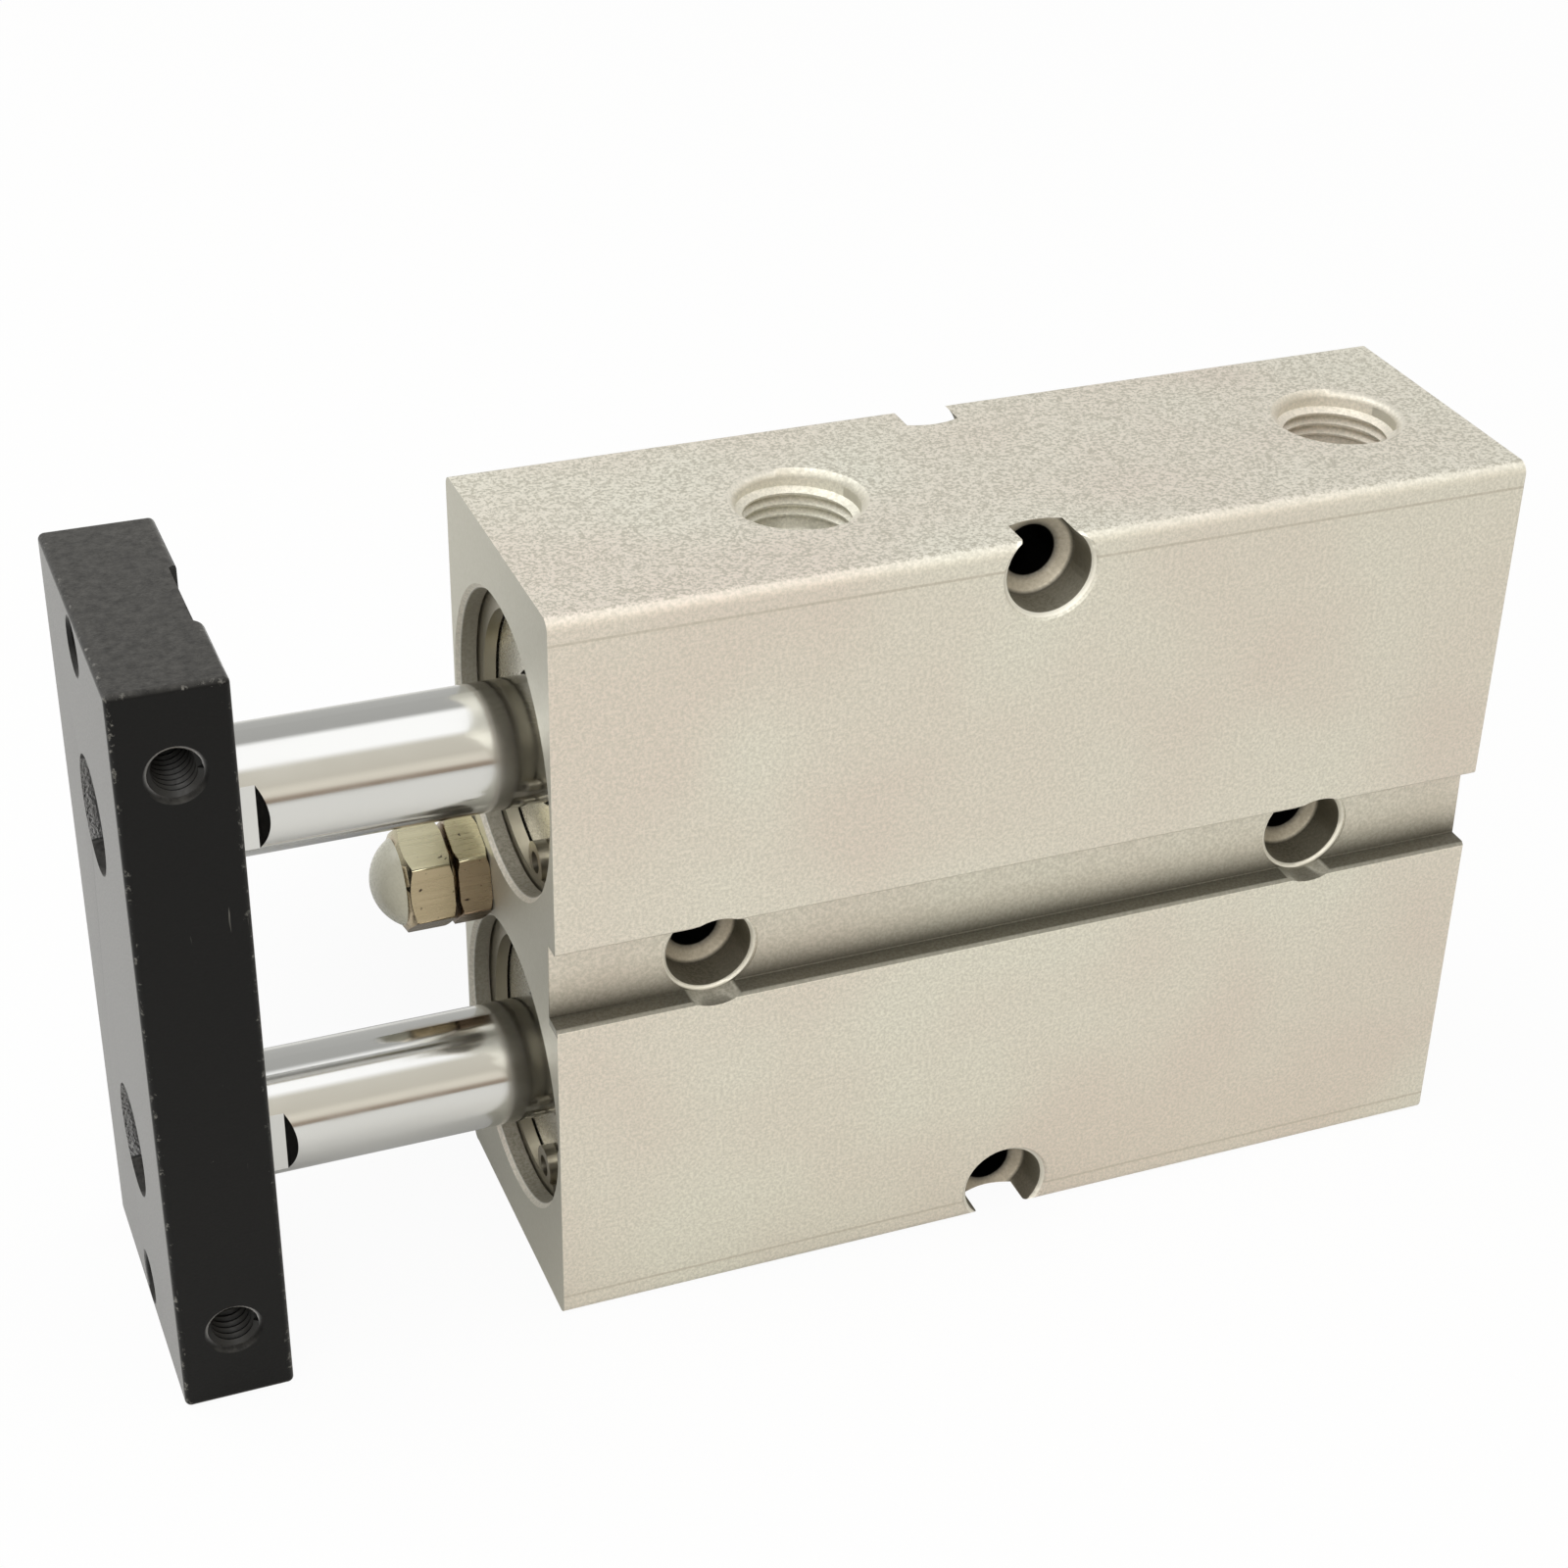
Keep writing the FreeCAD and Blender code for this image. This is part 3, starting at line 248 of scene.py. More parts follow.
@dataclass(frozen=True)
class BlastedAluminium(Finish):
    """Aluminium, extruded, blasted with fine beads and clear anodised.

    It looks warm and pale, almost as matt as paper, with a fine glitter where the blasting left it open, faint
    long streaks from the die, and a die line beside each long edge. Shade is painted inside its drilled holes,
    bores and channels, with a painted highlight on the drillings' chamfers, and its end faces are painted darker,
    partly for their milled finish and partly as painted shade.
    """

    patch_colour: str = "#EAE1D7"
    shade_colour: str = "#D0CEC4"
    speck_colour: str = "#4A463E"
    grit_colour: str = "#AEAA9C"
    die_line_colour: str = "#CBC5B8"
    patch_mm: float = 22.0
    # Fine beads leave dimples of about 0.1 mm and the die leaves finer streaks: both are drawn coarser, to show.
    bead_mm: float = 0.28
    bead_height_mm: float = 0.014
    streak_mm: float = 0.5
    streak_height_mm: float = 0.004
    gloss_swing: float = 0.08
    milled_smoother: float = 0.14
    speck_mm: float = 0.16
    speck_gap_mm: float = 17.0
    die_line_inset_mm: float = 2.0
    die_line_mm: float = 0.14
    height: float = 1.0
    drillings: tuple[tuple[float, float], ...] = ()
    bores: tuple[float, ...] = ()
    half_width: float = 1.0
    channel_half_mm: float = 3.4
    channel_depth_mm: float = 1.9
    channel_spare_mm: float = 0.15
    blend_mm: float = 0.02
    # The end faces' colour: darker, partly for their milled finish and partly as painted shade.
    milled_and_shaded_colour: str = "#CBC9BE"
    # Painted shade inside and a painted highlight on the chamfer, by the distance from a drilling's line.
    hole_shade_and_highlight_tones: tuple[Tone, ...] = (
        (0.0, "#0A0907", 1.0), (2.10, "#0A0907", 1.0), (2.2, "#77736A", 0.9), (2.55, "#B3AB9B", 0.8),
        (3.15, "#C8C0AF", 0.7), (3.42, "#5D5848", 0.85), (3.51, "#6B6655", 0.8), (3.55, "#FFFDF4", 0.9),
        (3.78, "#FFFDF4", 0.8), (3.84, "#FFFDF4", 0.0))
    # Painted shade, darkest in the lower corner, by the share of the way up the channel.
    channel_shade_tones: tuple[Tone, ...] = (
        (0.0, "#7E7B70", 0.0), (0.004, "#7E7B70", 0.85), (0.03, "#9A988D", 0.85), (0.09, "#8A887D", 0.85),
        (0.1, "#5A574B", 0.9), (0.13, "#5A574B", 0.8), (0.25, "#7E7A6C", 0.65), (0.5, "#B5AE9F", 0.35),
        (0.8, "#CFC9BB", 0.1), (1.0, "#CFC9BB", 0.0))
    # Painted shade inside, by the distance from a bore's line.
    bore_shade_tones: tuple[Tone, ...] = (
        (0.0, "#6F6C60", 0.75), (12.04, "#8A8678", 0.7), (12.1, "#FFFFFF", 0.0), (13.0, "#FFFFFF", 0.0))

    def pattern(self, tree: bpy.types.NodeTree, shader: bpy.types.Node) -> None:
        """Adds warm patches, bead marks, die streaks, the die lines, specks, the end faces' darker tone, which is
        partly painted shade, and the painted shade and highlights in the cuts.

        Args:
            tree: the material's nodes.
            shader: the surface shader.
        """
        place = self.place(tree)
        patches = add_node(tree, "TexNoise", {"Vector": place, "Scale": per_metre(self.patch_mm), "Detail": 2.0})
        wide = add_node(tree, "MapRange", {"Value": patches.outputs["Fac"], "From Min": 0.35, "From Max": 0.65})
        beads = add_node(tree, "TexNoise", {"Vector": place, "Scale": per_metre(self.bead_mm), "Detail": 4.0,
                                            "Roughness": 0.7})
        pits = add_node(tree, "MapRange", {"Value": beads.outputs["Fac"], "From Min": 0.42, "From Max": 0.62,
                                           "To Min": 0.6, "To Max": 0.0})
        coarse = add_node(tree, "MapRange", {"Value": beads.outputs["Fac"], "From Min": 0.44, "From Max": 0.52,
                                             "To Min": 0.55, "To Max": 0.0})
        grit = add_node(tree, "Math", {0: coarse.outputs["Result"], 1: self.facing(tree, "Z")}, operation="MULTIPLY")
        # The end faces, painted darker, partly for their milled finish and partly as painted shade.
        milled = self.facing(tree, "X")
        colour = linear(self.colour)
        for share, tone in ((wide.outputs["Result"], linear(self.patch_colour)),
                            (pits.outputs["Result"], linear(self.shade_colour)),
                            (grit.outputs[0], linear(self.grit_colour)),
                            (self.die_lines(tree), linear(self.die_line_colour)),
                            (self.specks(tree), linear(self.speck_colour)),
                            (milled, linear(self.milled_and_shaded_colour)),
                            self.channel_shade(tree), self.bore_shade(tree), self.hole_shade_and_highlight(tree)):
            colour = add_node(tree, "Mix", {"Factor": share, "A": colour, "B": tone},
                              data_type="RGBA").outputs["Result"]
        tree.links.new(colour, shader.inputs["Base Color"])
        gloss = add_node(tree, "MapRange", {"Value": beads.outputs["Fac"], "From Min": 0.35, "From Max": 0.65,
                                            "To Min": self.roughness + self.gloss_swing,
                                            "To Max": self.roughness - self.gloss_swing})
        smoother = add_node(tree, "Math", {0: milled, 1: -self.milled_smoother, 2: gloss.outputs["Result"]},
                            operation="MULTIPLY_ADD")
        tree.links.new(smoother.outputs[0], shader.inputs["Roughness"])
        along = add_node(tree, "Mapping", {"Vector": place, "Scale": (0.01, 1.0, 1.0)})
        streaks = add_node(tree, "TexNoise", {"Vector": along.outputs["Vector"], "Detail": 2.0,
                                              "Scale": per_metre(self.streak_mm)})
        fine = add_node(tree, "Bump", {"Height": streaks.outputs["Fac"], "Strength": 1.0,
                                       "Distance": self.streak_height_mm * MM})
        relief = add_node(tree, "Bump", {"Height": beads.outputs["Fac"], "Strength": 1.0,
                                         "Distance": self.bead_height_mm * MM, "Normal": fine.outputs["Normal"]})
        tree.links.new(relief.outputs["Normal"], shader.inputs["Normal"])

    def within(self, tree: bpy.types.NodeTree, value: bpy.types.NodeSocket, limit: float) -> bpy.types.NodeSocket:
        """Returns one where a value is below a limit, and nothing from the limit on."""
        return add_node(tree, "MapRange", {"Value": value, "From Min": limit - self.blend_mm * MM,
                                           "From Max": limit, "To Min": 1.0, "To Max": 0.0}).outputs["Result"]

    def toned(self, tree: bpy.types.NodeTree, share: bpy.types.NodeSocket,
              tones: tuple[Tone, ...]) -> bpy.types.Node:
        """Adds a ramp of tones, whose alpha says how much of each tone there is.

        Args:
            tree: the material's nodes.
            share: how far along the ramp a point lies.
            tones: the ramp's stops.

        Returns:
            The ramp.
        """
        ramp = add_node(tree, "ValToRGB", {"Fac": share})
        stops = ramp.color_ramp.elements
        while len(stops) < len(tones):
            stops.new(0.5)
        for stop, (reach, tone, amount) in zip(stops, tones):
            stop.position = reach / tones[-1][0]
            stop.color = (*linear(tone)[:3], amount)
        return ramp

    def die_lines(self, tree: bpy.types.NodeTree) -> bpy.types.NodeSocket:
        """Finds the line that the die leaves beside each long edge.

        Args:
            tree: the material's nodes.

        Returns:
            How strong the line is at a point, and nothing elsewhere.
        """
        middle = self.height / 2
        gap = add_node(tree, "Math", {0: self.away(tree, "Z", middle), 1: middle - self.die_line_inset_mm * MM},
                       operation="SUBTRACT")
        size = add_node(tree, "Math", {0: gap.outputs[0]}, operation="ABSOLUTE")
        line = add_node(tree, "MapRange", {"Value": size.outputs[0], "From Min": self.die_line_mm / 2 * MM,
                                           "From Max": self.die_line_mm * MM, "To Min": 0.7, "To Max": 0.0})
        return line.outputs["Result"]

    def specks(self, tree: bpy.types.NodeTree) -> bpy.types.NodeSocket:
        """Strews a few tiny specks of dirt on the wide faces.

        Args:
            tree: the material's nodes.

        Returns:
            How strong a speck is at a point, and nothing elsewhere.
        """
        flat = add_node(tree, "Mapping", {"Vector": self.place(tree), "Scale": (1.0, 0.0, 1.0)})
        cells = add_node(tree, "TexVoronoi", {"Vector": flat.outputs["Vector"], "Scale": per_metre(self.speck_gap_mm)})
        size = self.speck_mm / self.speck_gap_mm
        return add_node(tree, "MapRange", {"Value": cells.outputs["Distance"], "From Min": size * 0.5,
                                           "From Max": size, "To Min": 0.8, "To Max": 0.0}).outputs["Result"]

    def facing(self, tree: bpy.types.NodeTree, axis: str) -> bpy.types.NodeSocket:
        """Finds the faces that lie square to an axis.

        Args:
            tree: the material's nodes.
            axis: X, Y or Z.

        Returns:
            One on those faces, and nothing elsewhere.
        """
        way = add_node(tree, "SeparateXYZ", {"Vector": add_node(tree, "NewGeometry").outputs["True Normal"]})
        size = add_node(tree, "Math", {0: way.outputs[axis]}, operation="ABSOLUTE")
        return add_node(tree, "MapRange", {"Value": size.outputs[0], "From Min": 0.9, "From Max": 0.95},
                        ).outputs["Result"]

    def channel_shade(self, tree: bpy.types.NodeTree) -> Shade:
        """Paints shade into each channel, darkest in its lower corner.

        Args:
            tree: the material's nodes.

        Returns:
            The share and the tone.
        """
        half = self.channel_half_mm * MM
        level = add_node(tree, "SeparateXYZ", {"Vector": self.place(tree)}).outputs["Z"]
        low = self.height / 2 - half
        rise = add_node(tree, "MapRange", {"Value": level, "From Min": low - half / 5, "From Max": low + half * 1.8})
        ramp = self.toned(tree, rise.outputs["Result"], self.channel_shade_tones)
        side = self.away(tree, "Y", 0.0)
        skin = self.within(tree, side, self.half_width - self.blend_mm * MM)
        depth = (self.channel_depth_mm + self.channel_spare_mm) * MM
        deep = add_node(tree, "Math", {0: side, 1: self.half_width - depth}, operation="GREATER_THAN")
        band = add_node(tree, "Math", {0: skin, 1: deep.outputs[0]}, operation="MULTIPLY")
        share = add_node(tree, "Math", {0: band.outputs[0], 1: ramp.outputs["Alpha"]}, operation="MULTIPLY")
        return share.outputs[0], ramp.outputs["Color"]

    def nearest(self, tree: bpy.types.NodeTree, lines: tuple, keep: tuple[float, float, float],
                ) -> bpy.types.NodeSocket:
        """Measures the distance to the nearest of some lines along one axis.

        Args:
            tree: the material's nodes.
            lines: a point on each line.
            keep: one for each axis that counts, and nothing for the lines' own axis.

        Returns:
            The distance in metres.
        """
        least = None
        for point in lines:
            off = add_node(tree, "VectorMath", {0: self.place(tree), 1: point}, operation="SUBTRACT")
            flat = add_node(tree, "VectorMath", {0: off.outputs["Vector"], 1: keep}, operation="MULTIPLY")
            size = add_node(tree, "VectorMath", {0: flat.outputs["Vector"]}, operation="LENGTH").outputs["Value"]
            least = size if least is None else add_node(
                tree, "Math", {0: least, 1: size}, operation="MINIMUM").outputs[0]
        return least

    def round_tone(self, tree: bpy.types.NodeTree, distance: bpy.types.NodeSocket,
                   tones: tuple[Tone, ...]) -> Shade:
        """Tones a round cut by the distance from its line.

        Args:
            tree: the material's nodes.
            distance: the distance in metres.
            tones: the stops, whose last one is where the tones end.

        Returns:
            The share and the tone.
        """
        share = add_node(tree, "Math", {0: distance, 1: tones[-1][0] * MM}, operation="DIVIDE")
        ramp = self.toned(tree, share.outputs[0], tones)
        return ramp.outputs["Alpha"], ramp.outputs["Color"]

    def bore_shade(self, tree: bpy.types.NodeTree) -> Shade:
        """Returns the share and tone of the painted shade inside the reamed bores."""
        lines = tuple((0.0, 0.0, level) for level in self.bores)
        return self.round_tone(tree, self.nearest(tree, lines, (0.0, 1.0, 1.0)), self.bore_shade_tones)

    def hole_shade_and_highlight(self, tree: bpy.types.NodeTree) -> Shade:
        """Paints shade inside the cross drillings and a highlight on their chamfers.

        Args:
            tree: the material's nodes.

        Returns:
            The share and the tone.
        """
        lines = tuple((x, 0.0, z) for x, z in self.drillings)
        share, tone = self.round_tone(tree, self.nearest(tree, lines, (1.0, 0.0, 1.0)), self.hole_shade_and_highlight_tones)
        middle = self.height / 2
        skin = self.within(tree, self.away(tree, "Z", middle), middle - self.blend_mm / 2 * MM)
        inside = add_node(tree, "Math", {0: share, 1: skin}, operation="MULTIPLY")
        return inside.outputs[0], tone


@dataclass(frozen=True)
class BlackAnodised(Finish):
    """Aluminium bar, milled and black anodised.

    A dyed oxide skin hides the metal, so it looks matt black with a soft gleam at a low angle. Its corners are
    rubbed grey, with small bright specks where the skin has chipped.
    """

    worn_colour: str = "#6E6D69"
    # Lighter and mottled on the faces that point up.
    top_mottle_colour: str = "#434240"
    low: tuple[float, float, float] = (0.0, 0.0, 0.0)
    high: tuple[float, float, float] = (1.0, 1.0, 1.0)
    # The cutter's marks are nearer 0.05 mm, and the scratches are as fine: both are drawn coarser, to show.
    grit_mm: float = 0.22
    grit_height_mm: float = 0.012
    wear_mm: float = 0.8
    wear_at_edge: float = 0.12
    wear_inside: float = -0.08
    chip_mm: float = 0.7
    chip_from: float = 0.62
    chip_to: float = 0.72
    scratch_mm: float = 0.30
    scratch_from: float = 0.76
    scratch_to: float = 0.84
    mottle_mm: float = 0.9
    gloss_swing: float = 0.07
    gleam: float = 0.14
    sheen: float = 0.42
    sheen_spread: float = 0.35

    def edge_distance(self, tree: bpy.types.NodeTree) -> bpy.types.NodeSocket:
        """Measures how far a point of the block's surface is from the block's nearest edge.

        Args:
            tree: the material's nodes.

        Returns:
            The distance in metres.
        """
        gaps = []
        for index, (start, end) in enumerate(zip(self.low, self.high)):
            off = self.away(tree, index, (start + end) / 2)
            gaps.append(add_node(tree, "Math", {0: (end - start) / 2, 1: off}, operation="SUBTRACT").outputs[0])
        near = add_node(tree, "Math", {0: gaps[0], 1: gaps[1]}, operation="MINIMUM")
        far = add_node(tree, "Math", {0: gaps[0], 1: gaps[1]}, operation="MAXIMUM")
        third = add_node(tree, "Math", {0: far.outputs[0], 1: gaps[2]}, operation="MINIMUM")
        return add_node(tree, "Math", {0: near.outputs[0], 1: third.outputs[0]}, operation="MAXIMUM").outputs[0]

    def pattern(self, tree: bpy.types.NodeTree, shader: bpy.types.Node) -> None:
        """Adds the matt grit, the rubbed edges, the chips, and a lighter mottled grey on the faces that point up.

        Args:
            tree: the material's nodes.
            shader: the surface shader.
        """
        place = self.place(tree)
        grit = add_node(tree, "TexNoise", {"Vector": place, "Scale": per_metre(self.grit_mm), "Detail": 4.0})
        edge = self.edge_distance(tree)
        reach = add_node(tree, "MapRange", {"Value": edge, "From Max": self.wear_mm * MM,
                                            "To Min": self.wear_at_edge, "To Max": self.wear_inside})
        blots = add_node(tree, "TexNoise", {"Vector": place, "Scale": per_metre(self.chip_mm), "Detail": 6.0,
                                            "Roughness": 0.75})
        worn = add_node(tree, "Math", {0: blots.outputs["Fac"], 1: reach.outputs["Result"]}, operation="ADD")
        mask = add_node(tree, "MapRange", {"Value": worn.outputs[0], "From Min": self.chip_from,
                                            "From Max": self.chip_to})
        up = add_node(tree, "SeparateXYZ", {"Vector": add_node(tree, "NewGeometry").outputs["Normal"]}).outputs["Z"]
        upward = add_node(tree, "MapRange", {"Value": up, "From Min": 0.3, "From Max": 0.95})
        mottle = add_node(tree, "TexNoise", {"Vector": place, "Scale": per_metre(self.mottle_mm), "Detail": 5.0,
                                             "Roughness": 0.8})
        thin = add_node(tree, "MapRange", {"Value": mottle.outputs["Fac"], "From Min": 0.35, "From Max": 0.65,
                                           "To Min": 0.25})
        top_mottle = add_node(tree, "Math", {0: upward.outputs["Result"], 1: thin.outputs["Result"]},
                        operation="MULTIPLY")
        slant = add_node(tree, "Mapping", {"Vector": place, "Rotation": (0.9, 1.1, 0.4), "Scale": (1.0, 1.0, 0.06)})
        hairs = add_node(tree, "TexNoise", {"Vector": slant.outputs["Vector"], "Scale": per_metre(self.scratch_mm),
                                            "Detail": 2.0})
        scratch = add_node(tree, "MapRange", {"Value": hairs.outputs["Fac"], "From Min": self.scratch_from,
                                               "From Max": self.scratch_to})
        bare = add_node(tree, "Math", {0: mask.outputs["Result"], 1: scratch.outputs["Result"]},
                        operation="MAXIMUM")
        colour = linear(self.colour)
        for share, tone in ((top_mottle, self.top_mottle_colour), (bare, self.worn_colour)):
            colour = add_node(tree, "Mix", {"Factor": share.outputs[0], "A": colour, "B": linear(tone)},
                              data_type="RGBA").outputs["Result"]
        tree.links.new(colour, shader.inputs["Base Color"])
        for socket, value in (("Specular IOR Level", self.gleam), ("Sheen Weight", self.sheen),
                              ("Sheen Roughness", self.sheen_spread)):
            shader.inputs[socket].default_value = value
        gloss = add_node(tree, "MapRange", {"Value": grit.outputs["Fac"], "From Min": 0.3, "From Max": 0.7,
                                            "To Min": self.roughness - self.gloss_swing,
                                            "To Max": self.roughness + self.gloss_swing})
        tree.links.new(gloss.outputs["Result"], shader.inputs["Roughness"])
        bump = add_node(tree, "Bump", {"Height": grit.outputs["Fac"], "Strength": 1.0,
                                       "Distance": self.grit_height_mm * MM})
        tree.links.new(bump.outputs["Normal"], shader.inputs["Normal"])


@dataclass(frozen=True)
class TurnedMetal(Finish):
    """Metal faced in a lathe: fine rings about its axis, which draw the light into streaks."""

    centre: tuple[float, float, float] = (0.0, 0.0, 0.0)
    # A lathe's feed is nearer 0.1 mm a turn, and is drawn coarser so that the rings show.
    ring_mm: float = 0.45
    ring_height_mm: float = 0.004

    def pattern(self, tree: bpy.types.NodeTree, shader: bpy.types.Node) -> None:
        """Adds the tool's rings about the piece's own axis, over a fine grain.

        Args:
            tree: the material's nodes.
            shader: the surface shader.
        """
        bump = self.grain(tree, shader, size_mm=0.15, spread=0.05, height_mm=0.0007)
        centred = add_node(tree, "Mapping", {"Vector": self.place(tree), "Location": [-c for c in self.centre]})
        rings = add_node(tree, "TexWave", {"Vector": centred.outputs["Vector"], "Distortion": 0.0,
                                           "Scale": per_metre(self.ring_mm) * WAVE_SCALE},
                         wave_type="RINGS", rings_direction="X")
        ridge = add_node(tree, "Bump", {"Height": rings.outputs["Fac"], "Distance": self.ring_height_mm * MM,
                                        "Strength": 1.0, "Normal": bump.outputs["Normal"]})
        tree.links.new(ridge.outputs["Normal"], shader.inputs["Normal"])


@dataclass(frozen=True)
class GroundChrome(Finish):
    """Steel rod, ground, hard chromed and polished: a mirror with hair-thin marks round it."""

    # The polisher's marks are a few hundredths of a millimetre apart, and are drawn coarser so that they show.
    mark_mm: float = 0.12
    mark_height_mm: float = 0.0008
    film_mm: float = 4.0
    film_dulls: float = 0.06
    # Painted shade: the rod is painted darker as it nears the body's front face.
    rod_shade_colour: str = "#666663"
    rod_shade_from_mm: float = -13.0
    rod_shade_to_mm: float = -1.5
    rod_shade_share: float = 0.85

    def pattern(self, tree: bpy.types.NodeTree, shader: bpy.types.Node) -> None:
        """Adds the polishing marks, a trace of oil that dulls the mirror, and painted shade that darkens the rod
        towards the body.

        Args:
            tree: the material's nodes.
            shader: the surface shader.
        """
        place = self.place(tree)
        along = add_node(tree, "SeparateXYZ", {"Vector": place}).outputs["X"]
        # Painted shade, growing towards the body.
        rod_shade = add_node(tree, "MapRange", {"Value": along, "From Min": self.rod_shade_from_mm * MM,
                                             "From Max": self.rod_shade_to_mm * MM, "To Max": self.rod_shade_share},
                          interpolation_type="SMOOTHSTEP")
        skin = add_node(tree, "Mix", {"Factor": rod_shade.outputs["Result"], "A": linear(self.colour),
                                      "B": linear(self.rod_shade_colour)}, data_type="RGBA")
        tree.links.new(skin.outputs["Result"], shader.inputs["Base Color"])
        film = add_node(tree, "TexNoise", {"Vector": place, "Scale": per_metre(self.film_mm), "Detail": 4.0})
        dull = add_node(tree, "MapRange", {"Value": film.outputs["Fac"], "From Min": 0.4, "From Max": 0.7,
                                           "To Min": self.roughness,
                                           "To Max": self.roughness + self.film_dulls})
        tree.links.new(dull.outputs["Result"], shader.inputs["Roughness"])
        across = add_node(tree, "Mapping", {"Vector": place, "Scale": (1.0, 0.03, 0.03)})
        marks = add_node(tree, "TexNoise", {"Vector": across.outputs["Vector"], "Scale": per_metre(self.mark_mm),
                                            "Detail": 3.0})
        bump = add_node(tree, "Bump", {"Height": marks.outputs["Fac"], "Strength": 1.0,
                                       "Distance": self.mark_height_mm * MM})
        tree.links.new(bump.outputs["Normal"], shader.inputs["Normal"])


@dataclass(frozen=True)
class NickelPlate(Finish):
    """Steel, turned and milled, then nickel plated: a warm soft mirror with tool lines and a few dark pits.

    It is browner on the sides that face out and down.
    """

    pit_colour: str = "#3A2F28"
    # Browner on the faces that point sideways and down.
    side_and_under_colour: str = "#B3A284"
    # A drawn bar's lines are nearer 0.1 mm apart, and are drawn coarser so that they show.
    line_mm: float = 0.35
    line_height_mm: float = 0.004
    pit_mm: float = 0.5
    pit_from: float = 0.68
    pit_to: float = 0.72

    def pattern(self, tree: bpy.types.NodeTree, shader: bpy.types.Node) -> None:
        """Adds the lines of the drawn bar, which run with the bolt's axis, the browner tone on the sides and
        underside, and the pits.

        Args:
            tree: the material's nodes.
            shader: the surface shader.
        """
        place = self.place(tree)
        across = add_node(tree, "Mapping", {"Vector": place, "Scale": (0.05, 1.0, 1.0)})
        lines = add_node(tree, "TexNoise", {"Vector": across.outputs["Vector"], "Scale": per_metre(self.line_mm),
                                            "Detail": 5.0, "Roughness": 0.65})
        dull = add_node(tree, "MapRange", {"Value": lines.outputs["Fac"], "From Min": 0.3, "From Max": 0.7,
                                           "To Min": self.roughness - 0.05, "To Max": self.roughness + 0.1})
        tree.links.new(dull.outputs["Result"], shader.inputs["Roughness"])
        spots = add_node(tree, "TexNoise", {"Vector": place, "Scale": per_metre(self.pit_mm), "Detail": 3.0})
        pits = add_node(tree, "MapRange", {"Value": spots.outputs["Fac"], "From Min": self.pit_from,
                                           "From Max": self.pit_to})
        up = add_node(tree, "SeparateXYZ", {"Vector": add_node(tree, "NewGeometry").outputs["Normal"]}).outputs["Z"]
        below = add_node(tree, "MapRange", {"Value": up, "From Min": 0.1, "From Max": 0.6, "To Min": 1.0,
                                            "To Max": 0.0})
        colour = linear(self.colour)
        for share, tone in ((below, self.side_and_under_colour), (pits, self.pit_colour)):
            colour = add_node(tree, "Mix", {"Factor": share.outputs["Result"], "A": colour, "B": linear(tone)},
                              data_type="RGBA").outputs["Result"]
        tree.links.new(colour, shader.inputs["Base Color"])
        bump = add_node(tree, "Bump", {"Height": lines.outputs["Fac"], "Strength": 1.0,
                                       "Distance": self.line_height_mm * MM})
        tree.links.new(bump.outputs["Normal"], shader.inputs["Normal"])


# A clean mirror, with light and dark bands that run along the rod.
CHROME = GroundChrome("hard_chromed_steel", "#DADAD8", 0.11)
# A straw-coloured soft mirror, and browner on the nut.
NICKEL = NickelPlate("nickel_plated_steel", "#BDB79B", 0.22)
NUT_NICKEL = NickelPlate("nickel_plated_steel_dulled", "#BAB395", 0.26, side_and_under_colour="#907C67")
# Dull warm grey.
SPRING_STEEL = Finish("phosphated_spring_steel", "#A7A294", 0.34)
# Nearly black, with a soft gleam on the edges of the screw's socket.
BLACK_OXIDE = Finish("black_oxide_steel", "#2B2B2D", 0.38, 0.9)
# Deep black, with only the crests catching light.
TAPPED_BLACK = Finish("black_anodised_thread", "#0B0B0A", 0.5, 0.0)
# Brown gold, and dull because it is full of fine pores.
BRONZE = Finish("sintered_bronze", "#B58B5A", 0.36)
# Matt black.
NITRILE = Finish("nitrile_rubber", "#1C1C1C", 0.55, 0.0)
# Waxy and tan, and on the stop's tip creamy with a soft highlight.
URETHANE = Finish("cast_polyurethane", "#C9B98E", 0.42, 0.0)
PALE_URETHANE = Finish("pale_cast_polyurethane", "#CFCDBD", 0.28, 0.0)
# Off-white and slightly waxy.
ACETAL = Finish("acetal_resin", "#D8D5CB", 0.45, 0.0)
# Dark grey and dull, as a fired clay is.
FERRITE = Finish("sintered_ferrite", "#3B3A3A", 0.6, 0.0)


def body_finish() -> BlastedAluminium:
    """Works out the body's finish, with its die lines and drillings where the body has them.

    Returns:
        The finish.
    """
    drillings = []
    for name in ("web_holes", "edge_holes"):
        pair = mount(name)
        x, _, z = pair["pos_m"]
        along, up = (pair["dims"].get(size, 0.0) / 2 * MM for size in ("spacing_x_mm", "spacing_y_mm"))
        drillings += [(x - along, z - up), (x + along, z + up)]
    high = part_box("body")[1]
    levels = tuple(sum(corner.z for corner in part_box(f"guide_rod_{side.value}")) / 2 for side in Side)
    return BlastedAluminium("blasted_anodised_aluminium", "#EEECE1", 0.70, height=high.z, half_width=high.y,
                            drillings=tuple(drillings), bores=levels)


def turned_aluminium(node: str) -> TurnedMetal:
    """Returns the turned finish for a round piece, with its rings about that piece's own middle."""
    low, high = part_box(node)
    return TurnedMetal(f"turned_aluminium_{node}", "#D6D3C8", 0.26, centre=tuple((low + high) / 2))


def dress(node: str, finish: Finish) -> None:
    """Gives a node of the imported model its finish.

    Args:
        node: the node's name.
        finish: what it is made of.
    """
    materials = frame["nodes"][node].data.materials
    materials.clear()
    materials.append(finish.material())
    log.info("%s: %s", node, finish.name)


